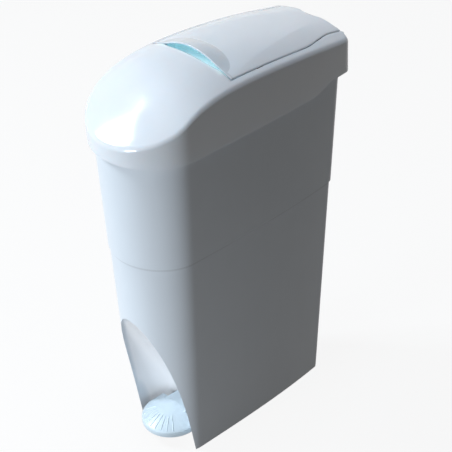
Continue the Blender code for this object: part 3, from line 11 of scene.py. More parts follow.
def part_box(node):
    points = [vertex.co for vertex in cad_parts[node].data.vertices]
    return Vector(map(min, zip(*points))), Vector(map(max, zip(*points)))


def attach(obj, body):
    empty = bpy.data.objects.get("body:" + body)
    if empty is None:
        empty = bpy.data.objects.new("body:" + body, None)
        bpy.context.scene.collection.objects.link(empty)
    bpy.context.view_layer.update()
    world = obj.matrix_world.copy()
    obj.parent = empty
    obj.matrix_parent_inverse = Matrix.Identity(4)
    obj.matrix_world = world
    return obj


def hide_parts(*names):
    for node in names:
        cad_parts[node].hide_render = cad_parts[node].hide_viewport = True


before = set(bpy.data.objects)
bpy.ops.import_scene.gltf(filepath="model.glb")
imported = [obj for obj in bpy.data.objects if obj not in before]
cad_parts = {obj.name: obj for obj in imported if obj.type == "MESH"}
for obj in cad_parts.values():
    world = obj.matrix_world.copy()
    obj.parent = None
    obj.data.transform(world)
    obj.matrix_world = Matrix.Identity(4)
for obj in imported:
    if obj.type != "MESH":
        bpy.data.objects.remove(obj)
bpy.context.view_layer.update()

# Camera: it stands to the front right and looks down on the hood, as the photograph does,
# with the slight lean that the picture has.
AIM = Vector((0.0, 0.01076, 0.27025))
CAMERA_AZIMUTH = math.radians(49.0)
CAMERA_ELEVATION = math.radians(33.75)
CAMERA_ROLL = math.radians(-3.0155)
CAMERA_DISTANCE = 1.92164


def placed(name, data):
    """A new object in the scene that shows this mesh, lamp or camera."""
    holder = bpy.data.objects.new(name, data)
    bpy.context.scene.collection.objects.link(holder)
    return holder


camera = placed("camera", bpy.data.cameras.new("camera"))
camera.data.sensor_width = 36.0
camera.data.lens = 119.49
camera.data.clip_start = 0.05
backwards = Vector(
    (
        math.sin(CAMERA_AZIMUTH) * math.cos(CAMERA_ELEVATION),
        -math.cos(CAMERA_AZIMUTH) * math.cos(CAMERA_ELEVATION),
        math.sin(CAMERA_ELEVATION),
    )
)
level_right = Vector((0.0, 0.0, 1.0)).cross(backwards).normalized()
level_up = backwards.cross(level_right)
right = math.cos(CAMERA_ROLL) * level_right + math.sin(CAMERA_ROLL) * level_up
up = math.cos(CAMERA_ROLL) * level_up - math.sin(CAMERA_ROLL) * level_right
turn = Matrix((right, up, backwards)).transposed().to_4x4()
camera.matrix_world = Matrix.Translation(AIM + CAMERA_DISTANCE * backwards) @ turn
bpy.context.scene.camera = camera


class Socket:
    """An output of a node tree, which adds Math nodes as it is used in sums."""

    def __init__(self, tree, output):
        self.tree = tree
        self.output = output

    def node(self, kind, settings=None, values=None, result=0):
        """Any other node: its settings first, then what its sockets hold or are linked to."""
        made = self.tree.nodes.new(kind)
        for name, value in (settings or {}).items():
            if name == "stops":
                ramp = made.color_ramp
                while len(ramp.elements) < len(value):
                    ramp.elements.new(0.5)
                for element, (place, colour) in zip(ramp.elements, value):
                    element.position = place
                    element.color = colour
            else:
                setattr(made, name, value)
        for name, value in (values or {}).items():
            if isinstance(value, Socket):
                self.tree.links.new(value.output, made.inputs[name])
            elif value is not None:
                made.inputs[name].default_value = value
        return Socket(self.tree, made.outputs[result] if made.outputs else None)

    def math(self, operation, *terms):
        values = dict(enumerate(terms))
        return self.node("ShaderNodeMath", {"operation": operation}, values)

    def __add__(self, other):
        return self.math("ADD", self, other)

    def __radd__(self, other):
        return self.math("ADD", other, self)

    def __sub__(self, other):
        return self.math("SUBTRACT", self, other)

    def __rsub__(self, other):
        return self.math("SUBTRACT", other, self)

    def __mul__(self, other):
        return self.math("MULTIPLY", self, other)

    def __rmul__(self, other):
        return self.math("MULTIPLY", other, self)

    def __truediv__(self, other):
        return self.math("DIVIDE", self, other)

    def __pow__(self, other):
        return self.math("POWER", self, other)


# Floor and light: a plain pale floor that runs out to white, a window of four panes high at the front left,
# soft lamps in front and above, weak ones low down and at the side, and a dim warm room.
bpy.context.scene.view_settings.view_transform = "Standard"


def seen_directly(start):
    """1 where the camera, a mirror or a clear piece looks straight at the surface, and 0 for its light."""
    kind = "ShaderNodeLightPath"
    camera_ray = start.node(kind, result="Is Camera Ray")
    glossy_ray = start.node(kind, result="Is Glossy Ray")
    clear_ray = start.node(kind, result="Is Transmission Ray")
    return camera_ray.math("MAXIMUM", camera_ray, glossy_ray.math("MAXIMUM", glossy_ray, clear_ray))


def cleared_tree(owner):
    """The emptied node tree of a material or world, to be built in."""
    owner.use_nodes = True
    owner.node_tree.nodes.clear()
    return Socket(owner.node_tree, None)


world = bpy.data.worlds.new("room")
bpy.context.scene.world = world
start = cleared_tree(world)
shade = start.node("ShaderNodeBackground", None, {"Color": (1.0, 0.94, 0.88, 1.0), "Strength": 0.034})
white = start.node("ShaderNodeBackground", None, {"Color": (1.0, 1.0, 1.0, 1.0), "Strength": 1.0})
room = start.node("ShaderNodeMixShader", None, {0: seen_directly(start), 1: shade, 2: white})
start.node("ShaderNodeOutputWorld", None, {"Surface": room})

FLOOR_REACH = 6.0
FLOOR_LEVEL = -0.0004
corners = [(FLOOR_REACH * x, FLOOR_REACH * y, 0.0) for x, y in ((-1, -1), (1, -1), (1, 1), (-1, 1))]
floor_mesh = bpy.data.meshes.new("floor")
floor_mesh.from_pydata(corners, [], [(0, 1, 2, 3)])
floor = placed("floor", floor_mesh)
floor.location.z = FLOOR_LEVEL
floor_paint = bpy.data.materials.new("floor_paint")
start = cleared_tree(floor_paint)
pale = start.node("ShaderNodeBsdfDiffuse", None, {"Color": (0.90, 0.91, 0.92, 1.0)})
glow = start.node("ShaderNodeEmission", None, {"Color": (1.0, 1.0, 1.0, 1.0), "Strength": 1.0})
dim = start.node("ShaderNodeBsdfDiffuse", None, {"Color": (0.08, 0.08, 0.08, 1.0)})
shown = start.node("ShaderNodeMixShader", None, {0: 0.90, 1: pale, 2: glow})
floor_look = start.node("ShaderNodeMixShader", None, {0: seen_directly(start), 1: dim, 2: shown})
start.node("ShaderNodeOutputMaterial", None, {"Surface": floor_look})
floor_mesh.materials.append(floor_paint)


def add_lamp(name, place, aim, size, power, colour, mirrored=True):
    """A soft rectangular lamp that shines towards its aim. Reflections show it only where it is mirrored."""
    lamp = bpy.data.lights.new(name, "AREA")
    lamp.shape = "RECTANGLE"
    lamp.size, lamp.size_y = size
    lamp.energy = power
    lamp.color = colour
    holder = placed(name, lamp)
    holder.location = place
    holder.rotation_euler = (Vector(aim) - Vector(place)).to_track_quat("-Z", "Y").to_euler()
    holder.visible_glossy = mirrored


WINDOW = Vector((-1.50, -1.15, 2.0))
PANE_SIZE = (0.28, 0.38)
PANE_ASIDE, PANE_UP = 0.17, 0.22
DAYLIGHT = (0.84, 0.93, 1.0)
across = Vector((0.0, 0.0, 1.0)).cross(WINDOW).normalized()
for column in (-1, 1):
    for row in (-1, 1):
        place = WINDOW + PANE_ASIDE * column * across + Vector((0.0, 0.0, PANE_UP * row))
        add_lamp(f"pane_{column}_{row}", place, (0.0, -0.05, 0.35), PANE_SIZE, 11.0, DAYLIGHT)
add_lamp("front", (-0.08, -2.2, 0.50), (0.0, -0.1, 0.25), (0.5, 0.5), 23.5, (0.84, 0.92, 1.0))
add_lamp("above", (0.0, 0.10, 2.4), (0.0, 0.0, 0.5), (0.5, 0.9), 12.4, (0.84, 0.90, 1.0), False)
add_lamp("low", (0.17, -0.60, 0.06), (0.0, -0.12, 0.08), (0.2, 0.2), 0.65, (0.90, 0.95, 1.0), False)
add_lamp("side", (0.50, -0.75, 0.22), (0.06, -0.05, 0.20), (0.4, 0.4), 0.40, (1.0, 0.92, 0.85), False)


# Body: the tall tapered container, thin walls of pale blue-white plastic moulded in one piece,
# with a shallow stacking step, a flange at the rim and the toe recess let into its front.
SKIRT_LEVEL = 0.450
BODY_TOP = 0.464
BODY_WALL = 0.0025
RIM_THICKNESS = 0.003
STEP_LEVEL = 0.302
STEP_INSET = 0.0018
STEP_SLOPE = 0.0008
BIN_FLOOR = 0.065
FLOOR_THICKNESS = 0.003
NOSE_EXPONENT = 1.92
FOOT_PLAN = dict(half_width=0.057, front=-0.1526, back=0.1294, nose=0.0525, narrowing=0.0102, corner=0.009)
TOP_PLAN = dict(half_width=0.0732, front=-0.163, back=0.1603, nose=0.061, narrowing=0.0122, corner=0.0125)
HOOD_PLAN = dict(half_width=0.080, front=-0.1702, back=0.1725, nose=0.065, narrowing=0.0122, corner=0.0147)
RECESS_HALF_WIDTH = 0.0542
RECESS_HEIGHT = 0.2088
RECESS_DEPTH = 0.052
RECESS_ARCH, RECESS_ROUNDNESS = 2.93, 2.03
RECESS_LEAN = 1.5
RECESS_REACH = -0.25
NOSE_POINTS = 44
ROD_Y = 0.1198
ROD_HOLE_RADIUS = 0.0053
UNDER_STEP_LEVEL = 0.030
CLIP_LEVELS = (0.100, 0.425)


def half_plan(plan, inset=0.0, nose_points=NOSE_POINTS, side_points=40, corner_points=8):
    """The right half of a plan, from its front centre to its back corner's end, drawn in by the inset."""
    t = np.linspace(0, np.pi / 2, nose_points)
    x = plan["half_width"] * np.sin(t) ** (2 / NOSE_EXPONENT)
    y = plan["front"] + plan["nose"] * (1 - np.cos(t) ** (2 / NOSE_EXPONENT))
    start, end = plan["front"] + plan["nose"], plan["back"] - plan["corner"]
    side_y = np.linspace(start, end, side_points + 1)[1:]
    side_x = plan["half_width"] - plan["narrowing"] * ((side_y - start) / (plan["back"] - start)) ** 3
    turn = np.linspace(0, np.pi / 2, corner_points + 1)[1:]
    corner_x = side_x[-1] - plan["corner"] * (1 - np.cos(turn))
    corner_y = end + plan["corner"] * np.sin(turn)
    points = np.column_stack([np.concatenate([x, side_x, corner_x]), np.concatenate([y, side_y, corner_y])])
    steps = np.gradient(points, axis=0)
    steps[0] = (1, 0)
    steps[-1] = (-1, 0)
    inward = np.column_stack([-steps[:, 1], steps[:, 0]])
    inward /= np.linalg.norm(inward, axis=1)[:, None]
    return points + inset * inward, inward


def whole_plan(plan, inset=0.0, back_columns=24, **counts):
    """The closed plan, counter-clockwise from the front centre, and the way in from each point."""
    points, inward = half_plan(plan, inset, **counts)
    shares = np.linspace(1, -1, back_columns + 1)[1:-1]
    back = np.column_stack([points[-1, 0] * shares, np.full(len(shares), points[-1, 1])])
    back_inward = np.tile([0.0, -1.0], (len(shares), 1))
    mirror = np.array([-1.0, 1.0])
    loop = np.concatenate([points, back, points[:0:-1] * mirror])
    return loop, np.concatenate([inward, back_inward, inward[:0:-1] * mirror])


def body_plan(level):
    """The body's plan at a level, which may be a number or a socket."""
    share = level / SKIRT_LEVEL
    return {key: FOOT_PLAN[key] + share * (TOP_PLAN[key] - FOOT_PLAN[key]) for key in FOOT_PLAN}


def new_object(name, vertices, faces):
    mesh = bpy.data.meshes.new(name)
    mesh.from_pydata([tuple(map(float, v)) for v in vertices], [], [tuple(f) for f in faces])
    work = bmesh.new()
    work.from_mesh(mesh)
    bmesh.ops.remove_doubles(work, verts=work.verts, dist=1e-7)
    bmesh.ops.recalc_face_normals(work, faces=work.faces)
    if work.faces and work.calc_volume(signed=True) < 0:
        bmesh.ops.reverse_faces(work, faces=work.faces)
    work.to_mesh(mesh)
    work.free()
    return placed(name, mesh)


def bands(levels, count, closed=False):
    """The faces between rings of count points each. Closed, the last ring joins the first."""
    faces = []
    for level in range(levels if closed else levels - 1):
        here, there = level * count, ((level + 1) % levels) * count
        for i in range(count):
            j = (i + 1) % count
            faces.append((here + i, here + j, there + j, there + i))
    return faces


def loft(rings, closed=False):
    """Vertices and faces between rings of equal count, capped at both ends unless closed end to start."""
    count = len(rings[0])
    vertices = np.concatenate([np.asarray(ring, float) for ring in rings])
    faces = bands(len(rings), count, closed)
    if not closed:
        faces.append(tuple(range(count)))
        faces.append(tuple((len(rings) - 1) * count + i for i in range(count)))
    return vertices, faces


def ring_of(loop, level):
    levels = level(loop[:, 0], loop[:, 1]) if callable(level) else np.full(len(loop), level)
    return np.column_stack([loop, levels])


def combine(target, operation, *tools):
    """Cuts the tools from the target or joins them to it, and takes the tools away."""
    for tool in tools:
        modifier = target.modifiers.new(tool.name, "BOOLEAN")
        modifier.operation = operation
        modifier.solver = "EXACT"
        modifier.object = tool
    bake(target)
    for tool in tools:
        bpy.data.objects.remove(tool, do_unlink=True)


def bake(piece):
    """Turns what the piece's modifiers make into its plain mesh."""
    graph = bpy.context.evaluated_depsgraph_get()
    graph.update()
    mesh = bpy.data.meshes.new_from_object(piece.evaluated_get(graph), depsgraph=graph)
    piece.modifiers.clear()
    piece.data = mesh


def smooth(mesh, crease):
    """Smooth shading, with sharp edges where the piece turns by more than the crease, in degrees."""
    mesh.shade_smooth()
    mesh.set_sharp_from_angle(angle=math.radians(crease))


def finish_piece(piece, paint, body, nodes):
    """A piece's last merging and shading, its finish, and the nodes that it stands for."""
    mesh = piece.data
    work = bmesh.new()
    work.from_mesh(mesh)
    bmesh.ops.remove_doubles(work, verts=work.verts, dist=2e-6)
    bmesh.ops.dissolve_degenerate(work, dist=1e-6, edges=work.edges)
    work.to_mesh(mesh)
    work.free()
    smooth(mesh, 32.0)
    mesh.materials.clear()
    mesh.materials.append(paint)
    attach(piece, body)
    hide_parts(*nodes)


def smooth_step(value):
    value = np.clip(value, 0.0, 1.0)
    return value * value * (3 - 2 * value)


def new_tree(name, **inputs):
    """A Geometry Nodes tree with inputs of these kinds and one for the paint, and what comes in by them."""
    tree = bpy.data.node_groups.new(name, "GeometryNodeTree")
    for label, kind in {**inputs, "Paint": "Material"}.items():
        tree.interface.new_socket(label.replace("_", " "), in_out="INPUT", socket_type=f"NodeSocket{kind}")
    tree.interface.new_socket("Geometry", in_out="OUTPUT", socket_type="NodeSocketGeometry")
    entry = tree.nodes.new("NodeGroupInput")
    return tree, {socket.name: Socket(tree, socket) for socket in entry.outputs if socket.name}


def close_tree(tree, shape, paint):
    """Makes what is placed real, paints it and hands it out of the tree."""
    real = shape.node("GeometryNodeRealizeInstances", None, {"Geometry": shape})
    painted = real.node("GeometryNodeSetMaterial", None, {"Geometry": real, "Material": paint})
    tree.links.new(painted.output, tree.nodes.new("NodeGroupOutput").inputs["Geometry"])
    return tree


def tapered_tree():
    """A solid between the foot plan and the top plan: straight sides with a step part of the way up."""
    sizes = ("Bottom", "Step level", "Top", "Side inset", "Step inset", "Step slope", "Height")
    counts = ("Rings below", "Rings above")
    kinds = {"Plan": "Geometry", **dict.fromkeys(sizes, "Float"), **dict.fromkeys(counts, "Int")}
    tree, given = new_tree("tapered_solid", **kinds)
    start, bottom, step = given["Plan"], given["Bottom"], given["Step level"]
    low_rings, high_rings = given["Rings below"], given["Rings above"]
    size = start.node("GeometryNodeAttributeDomainSize", None, {"Geometry": start}, "Point Count")
    rings = low_rings + high_rings + 1
    sides = {"Vertices": size, "Side Segments": rings}
    tube = start.node("GeometryNodeMeshCylinder", {"fill_type": "NGON"}, sides, "Mesh")
    index = start.node("GeometryNodeInputIndex")
    around = index.math("MODULO", index, size)
    ring = rings - index.math("FLOOR", index / size)
    low = ring.math("MINIMUM", ring / low_rings, 1.0)
    high = ring.math("MAXIMUM", (ring - low_rings - 1) / high_rings, 0.0)
    above = ring.math("GREATER_THAN", ring, low_rings + 0.5)
    level_low = bottom + low * (step - bottom)
    ledge = step + given["Step slope"]
    level_high = ledge + high * (given["Top"] - ledge)
    level = level_low + above * (level_high - level_low)
    inset = given["Side inset"] + (1 - above) * given["Step inset"]
    share = level / given["Height"]

    def sampled(name):
        kind = {"data_type": "FLOAT_VECTOR"}
        stored = start.node("GeometryNodeInputNamedAttribute", kind, {"Name": name}, "Attribute")
        values = {"Geometry": start, "Value": stored, "Index": around}
        return start.node("GeometryNodeSampleIndex", kind, values, "Value")

    def mixed(first, second):
        kind = {"data_type": "VECTOR", "clamp_factor": False}
        return start.node("ShaderNodeMix", kind, {"Factor": share, 4: sampled(first), 5: sampled(second)}, 1)

    place = mixed("foot", "top")
    inward = {0: mixed("foot_inward", "top_inward"), "Scale": inset}
    pull = start.node("ShaderNodeVectorMath", {"operation": "SCALE"}, inward)
    lift = start.node("ShaderNodeCombineXYZ", None, {"Z": level})
    flat = start.node("ShaderNodeVectorMath", {"operation": "ADD"}, {0: place, 1: pull})
    point = start.node("ShaderNodeVectorMath", {"operation": "ADD"}, {0: flat, 1: lift})
    moved = start.node("GeometryNodeSetPosition", None, {"Geometry": tube, "Position": point})
    return close_tree(tree, moved, given["Paint"])


def run_tree(piece, tree, **values):
    """Runs a tree on the piece, its inputs set by their identifiers, and keeps the plain mesh it makes."""
    modifier = piece.modifiers.new(tree.name, "NODES")
    modifier.node_group = tree
    sockets = tree.interface.items_tree
    named = {item.name: item.identifier for item in sockets if item.in_out == "INPUT"}
    for name, value in values.items():
        modifier[named[name.replace("_", " ")]] = value
    bake(piece)


def store(mesh, name, values):
    """Keeps a number, or a vector, for each point of a mesh."""
    values = np.array(values, np.float32)
    kind, field = ("FLOAT_VECTOR", "vector") if values.ndim > 1 else ("FLOAT", "value")
    mesh.attributes.new(name, kind, "POINT").data.foreach_set(field, values.ravel())


def tapered_solid(name, paint, **values):
    """A plain mesh from the tapered solid's tree."""
    loop, _ = whole_plan(FOOT_PLAN)
    mesh = bpy.data.meshes.new(name)
    mesh.from_pydata([(x, y, 0.0) for x, y in loop], [], [])
    for key, plan in (("foot", FOOT_PLAN), ("top", TOP_PLAN)):
        points, inward = whole_plan(plan)
        for label, vectors in ((key, points), (f"{key}_inward", inward)):
            store(mesh, label, np.column_stack([vectors, np.zeros(len(vectors))]))
    piece = placed(name, mesh)
    run_tree(piece, tapered_solid_tree, Height=SKIRT_LEVEL, Paint=paint, Step_slope=STEP_SLOPE, **values)
    return piece


def new_paint(name):
    """A new material, the way into its emptied tree, and the place on the piece that its patterns read."""
    material = bpy.data.materials.new(name)
    start = cleared_tree(material)
    return material, start, start.node("ShaderNodeTexCoord", None, None, "Object")


def noise(place, scale, detail, rough=0.5):
    values = {"Vector": place, "Scale": scale, "Detail": detail, "Roughness": rough}
    return place.node("ShaderNodeTexNoise", None, values, 0)


def stretched(place, scale):
    return place.node("ShaderNodeMapping", None, {"Vector": place, "Scale": scale})


def end_paint(start, **values):
    """Closes a material's tree with one Principled shader. An underscore in a socket's name is a space."""
    values = {name.replace("_", " "): value for name, value in values.items()}
    shader = start.node("ShaderNodeBsdfPrincipled", None, values)
    start.node("ShaderNodeOutputMaterial", None, {"Surface": shader})


def moulded_paint(name, colour, roughness, grain, grain_size, haze, coat, clearness=0.0, places=()):
    """Moulded plastic: a faint cloudiness in its colour, a fine skin, and patches duller from handling.
    places are parts of it where light or shade is painted into its colour: what finds each, the colour
    painted there, and the glow painted there."""
    material, start, place = new_paint(name)
    cloud = noise(place, 9.0, 3.0)
    streaks = noise(stretched(place, (60.0, 60.0, 2.5)), 1.0, 3.0)
    skin = noise(place, grain_size, 2.0, 0.6)
    orange_peel = noise(place, 150.0, 1.0)
    smudge = noise(place, 22.0, 5.0, 0.62)
    dark = tuple(channel * (1 - haze) for channel in colour)
    light = tuple(min(1.0, channel * (1 + 0.4 * haze)) for channel in colour)
    stops = [(0.30, (*dark, 1.0)), (0.70, (*light, 1.0))]
    tint = start.node("ShaderNodeValToRGB", {"stops": stops}, {"Fac": cloud * 0.75 + streaks * 0.25})
    glow = None
    # Painted light and shade: each place's colour, and its glow as emission, are painted in here.
    for find, shade, through in places:
        where = find(place)
        tint = start.node("ShaderNodeMix", {"data_type": "RGBA"}, {0: where, 6: tint, 7: (*shade, 1.0)}, 2)
        if through:
            stops = [(0.0, (0.0, 0.0, 0.0, 1.0)), (1.0, (*through, 1.0))]
            glow = start.node("ShaderNodeValToRGB", {"stops": stops}, {"Fac": where})
    dull = roughness + (smudge - 0.5) * 0.14 + (streaks - 0.5) * 0.05
    height = skin * grain + orange_peel * 0.35
    bump = start.node("ShaderNodeBump", None, {"Strength": 0.35, "Distance": 0.00012, "Height": height})
    end_paint(
        start,
        Base_Color=tint,
        Roughness=dull,
        Normal=bump,
        Coat_Weight=coat,
        Coat_Roughness=0.08,
        IOR=1.5,
        Subsurface_Weight=clearness,
        Subsurface_Radius=(0.6, 0.85, 1.0),
        Subsurface_Scale=0.006,
        Emission_Color=glow or (0.0, 0.0, 0.0, 1.0),
        Emission_Strength=1.0 if glow else 0.0,
    )
    return material


def recess_solid(name, grow, levels=44, back_points=22):
    """The toe recess: straight to the front from its arch, with an alcove that leans forward as it rises."""
    height = RECESS_HEIGHT + grow
    rings = []
    for k in range(levels + 1):
        level = height * math.sin(math.pi / 2 * 0.993 * k / levels)
        share = level / height
        half = (RECESS_HALF_WIDTH + grow) * (1 - share**RECESS_ARCH) ** (1 / RECESS_ROUNDNESS)
        nose = half_plan(body_plan(level), STEP_INSET)[0][:NOSE_POINTS]
        edge = float(np.interp(min(half, RECESS_HALF_WIDTH), nose[:, 0], nose[:, 1]))
        depth = (RECESS_DEPTH + grow) * (1 - share**RECESS_LEAN)
        turns = np.linspace(0, np.pi / 2, back_points)
        back = np.column_stack([half * np.cos(turns) ** (2 / 3), edge + depth * np.sin(turns) ** (2 / 3)])
        back[-1, 0] = 0.0
        side = np.concatenate([[[half, RECESS_REACH]], back])
        loop = np.concatenate([side, side[-2::-1] * np.array([-1.0, 1.0])])
        rings.append(ring_of(loop, level if k else -0.01))
    return new_object(name, *loft(rings))


def round_bar(name, start_point, end_point, radius, sides=32):
    """A plain round bar between two points."""
    start_point, end_point = np.array(start_point, float), np.array(end_point, float)
    along = (end_point - start_point) / np.linalg.norm(end_point - start_point)
    side = np.cross(along, [0.0, 0.0, 1.0] if abs(along[2]) < 0.9 else [1.0, 0.0, 0.0])
    side /= np.linalg.norm(side)
    other = np.cross(along, side)
    angles = np.linspace(0, 2 * np.pi, sides, endpoint=False)
    circle = radius * (np.outer(np.cos(angles), side) + np.outer(np.sin(angles), other))
    return new_object(name, *loft([circle + start_point, circle + end_point]))


def cross_bar(name, first, last, place, radius, sides=32):
    """A round bar that lies across the bin, at this place in its side view."""
    return round_bar(name, (first, *place), (last, *place), radius, sides)


def plate(name, outline, first, last):
    """A flat plate with this outline in the side view, between two places across."""
    return new_object(name, *loft([[(x, y, z) for y, z in outline] for x in (first, last)]))


def block(name, low, high):
    base = [(low[0], low[1]), (high[0], low[1]), (high[0], high[1]), (low[0], high[1])]
    return new_object(name, *loft([[(x, y, z) for x, y in base] for z in (low[2], high[2])]))


# Painted light: the toe recess is painted paler, standing in for the light that brightens it.
RECESS_LIT_BEHIND_WALL = (0.0045, 0.012)
RECESS_LIT_END = (-0.066, -0.052)
RECESS_LIT_FADE_ABOVE = 0.012
RECESS_LIT_FADE_BESIDE = 0.001
RECESS_PAINTED_LIGHT = (0.96, 0.97, 0.99)
# Painted shade: a thin darker line just under the step, where its overhang shades the wall.
STEP_SHADE_START, STEP_SHADE_FULL, STEP_SHADE_FADE = 0.0040, 0.0022, 0.0004
STEP_SHADE_COLOUR = (0.63, 0.68, 0.73)


def parts_of(place):
    return [place.node("ShaderNodeSeparateXYZ", None, {"Vector": place}, k) for k in range(3)]


def soft_step(value, first, last):
    kind = {"interpolation_type": "SMOOTHSTEP"}
    return value.node("ShaderNodeMapRange", kind, {"Value": value, "From Min": first, "From Max": last}, 0)


def recess_wall(place):
    """Where the toe recess is: painted light, a paler colour that stands in for the light that brightens the
    recess.
    """
    across, along, up = parts_of(place)
    plan = body_plan(up)
    aside = across.math("ABSOLUTE", across)
    wide = across.math("MINIMUM", aside / plan["half_width"], 1.0)
    wall = plan["front"] + plan["nose"] * (1 - (1 - wide**NOSE_EXPONENT) ** (1 / NOSE_EXPONENT))
    behind = soft_step(along - wall, *RECESS_LIT_BEHIND_WALL)
    below = 1 - soft_step(up, RECESS_HEIGHT - RECESS_LIT_FADE_ABOVE, RECESS_HEIGHT)
    near = 1 - soft_step(along, *RECESS_LIT_END)
    beside = 1 - soft_step(aside, RECESS_HALF_WIDTH - RECESS_LIT_FADE_BESIDE, RECESS_HALF_WIDTH)
    return behind * below * near * beside


def under_step_shade(place):
    """A thin darker line just under the body's step: painted shade, where the step's overhang shades the
    wall.
    """
    up = parts_of(place)[2]
    below = soft_step(up, STEP_LEVEL - STEP_SHADE_START, STEP_LEVEL - STEP_SHADE_FULL)
    return below * (1 - soft_step(up, STEP_LEVEL - STEP_SHADE_FADE, STEP_LEVEL))


tapered_solid_tree = tapered_tree()
body_look = (0.74, 0.80, 0.86), 0.34, 1.0, 900.0, 0.03, 0.15, 0.0
# The body's painted places: painted light in the toe recess and painted shade just under the step.
body_places = [(recess_wall, RECESS_PAINTED_LIGHT, None), (under_step_shade, STEP_SHADE_COLOUR, None)]
body_paint = moulded_paint("body_plastic", *body_look, places=body_places)
body = tapered_solid(
    "body_shell",
    body_paint,
    Bottom=0.0,
    Step_level=STEP_LEVEL,
    Top=BODY_TOP,
    Side_inset=0.0,
    Step_inset=STEP_INSET,
    Rings_below=24,
    Rings_above=14,
)
flange_loop, _ = whole_plan(HOOD_PLAN, 0.0031)
flange_rings = [ring_of(flange_loop, level) for level in (BODY_TOP - RIM_THICKNESS, BODY_TOP)]
flange = new_object("flange", *loft(flange_rings))
combine(body, "UNION", flange)
bin_space = tapered_solid(
    "bin_space",
    body_paint,
    Bottom=BIN_FLOOR,
    Step_level=STEP_LEVEL + STEP_INSET,
    Top=BODY_TOP + 0.01,
    Side_inset=BODY_WALL,
    Step_inset=STEP_INSET,
    Rings_below=12,
    Rings_above=8,
)
combine(bin_space, "DIFFERENCE", recess_solid("recess_wall_above", BODY_WALL))
under_space = tapered_solid(
    "under_space",
    body_paint,
    Bottom=-0.01,
    Step_level=UNDER_STEP_LEVEL,
    Top=BIN_FLOOR - FLOOR_THICKNESS,
    Side_inset=BODY_WALL + STEP_INSET,
    Step_inset=0.0,
    Rings_below=3,
    Rings_above=3,
)
combine(under_space, "DIFFERENCE", recess_solid("recess_wall_below", BODY_WALL + 0.0001))
neck_slot = block("neck_slot", (-0.026, -0.080, -0.01), (0.026, -0.050, 0.0395))
rod_hole = round_bar("rod_hole", (0.0, ROD_Y, 0.060), (0.0, ROD_Y, 0.067), ROD_HOLE_RADIUS)
combine(body, "DIFFERENCE", bin_space, under_space, recess_solid("toe_recess", 0.0), neck_slot, rod_hole)
for level in CLIP_LEVELS:
    wall = body_plan(level)["back"] - BODY_WALL - (STEP_INSET if level < STEP_LEVEL else 0.0)
    pad = block("clip_pad", (-0.015, wall - 0.003, level - 0.008), (0.015, wall + 0.0015, level + 0.008))
    combine(body, "UNION", pad)
finish_piece(body, body_paint, "container", ["body"])


# Hood: the cover over the rim, one glossy moulding with a skirt, a rounded shoulder and a crowned top
# that falls to a dome at the front. Its back is open for the flap, which sits in a sunk seat.
HOOD_WALL = 0.0025
SHOULDER_RADIUS = 0.004
SHOULDER_SHARES = np.array([0.0, 0.12, 0.25, 0.45, 0.72, 1.0])
SHOULDER_HEIGHTS = np.array([0.021, 0.039, 0.060, 0.068, 0.063, 0.0508])
CROWN_RISE = 0.0175
CROWN_FALL_TO_BACK = 0.0046
CROWN_FRONT_SHARE, CROWN_FRONT_POWER = 0.3, 2.5
CROWN_BACK_SHARE = 0.4
CROWN_ROUNDNESS = 2.2
SWEEP_RISE = 0.0085
SWEEP_START, SWEEP_END = 0.098, 0.134
SEAM_FRONT = -0.0302
SEAM_INSET = 0.010
SEAM_BACK_INSET = 0.018
SEAM_BEND = (0.0930, 0.1470)
SEAT_DEPTH = 0.006
SEAT_WALL = 0.0025
EDGE_RADIUS = 0.0008
TROUGH_DEPTH = 0.014
TROUGH_LENGTH = 0.023
TROUGH_SLOPE_LENGTH = 0.007
TROUGH_SLOPE_RUN = 0.018
HINGE_Y = 0.148
HINGE_Z = 0.500
HINGE = (HINGE_Y, HINGE_Z)
SIDE_SEAT_END = 0.128
HINGE_ROOM = 0.0095
BUSH_BORE_RADIUS = 0.0045


def half_width_at(y):
    y = np.asarray(y, float)
    start = HOOD_PLAN["front"] + HOOD_PLAN["nose"]
    nose = np.clip(1 - (np.clip(start - y, 0, None) / HOOD_PLAN["nose"]) ** NOSE_EXPONENT, 0, None)
    back = HOOD_PLAN["narrowing"] * (np.clip(y - start, 0, None) / (HOOD_PLAN["back"] - start)) ** 3
    return HOOD_PLAN["half_width"] * nose ** (1 / NOSE_EXPONENT) - back


def length_share(y):
    return (np.asarray(y, float) - HOOD_PLAN["front"]) / (HOOD_PLAN["back"] - HOOD_PLAN["front"])


def shoulder_level(y):
    """The height of the skirt's top edge, a smooth curve through a few heights."""
    steps = np.diff(SHOULDER_HEIGHTS) / np.diff(SHOULDER_SHARES)
    slopes = np.concatenate([[steps[0]], (steps[:-1] + steps[1:]) / 2, [steps[-1]]])
    slopes[1:-1][steps[:-1] * steps[1:] < 0] = 0.0
    at = np.clip(length_share(y), 0, 1)
    k = np.clip(np.searchsorted(SHOULDER_SHARES, at, side="right") - 1, 0, len(steps) - 1)
    width = SHOULDER_SHARES[k + 1] - SHOULDER_SHARES[k]
    t = (at - SHOULDER_SHARES[k]) / width
    rise = SHOULDER_HEIGHTS[k] * (2 * t**3 - 3 * t**2 + 1) + SHOULDER_HEIGHTS[k + 1] * (3 * t**2 - 2 * t**3)
    lean = slopes[k] * (t**3 - 2 * t**2 + t) + slopes[k + 1] * (t**3 - t**2)
    return SKIRT_LEVEL + rise + width * lean


def foot_level(x, y):
    """The skirt's lower edge: level along the sides, with a short sweep upwards near the back."""
    return SKIRT_LEVEL + SWEEP_RISE * smooth_step((y - SWEEP_START) / (SWEEP_END - SWEEP_START))


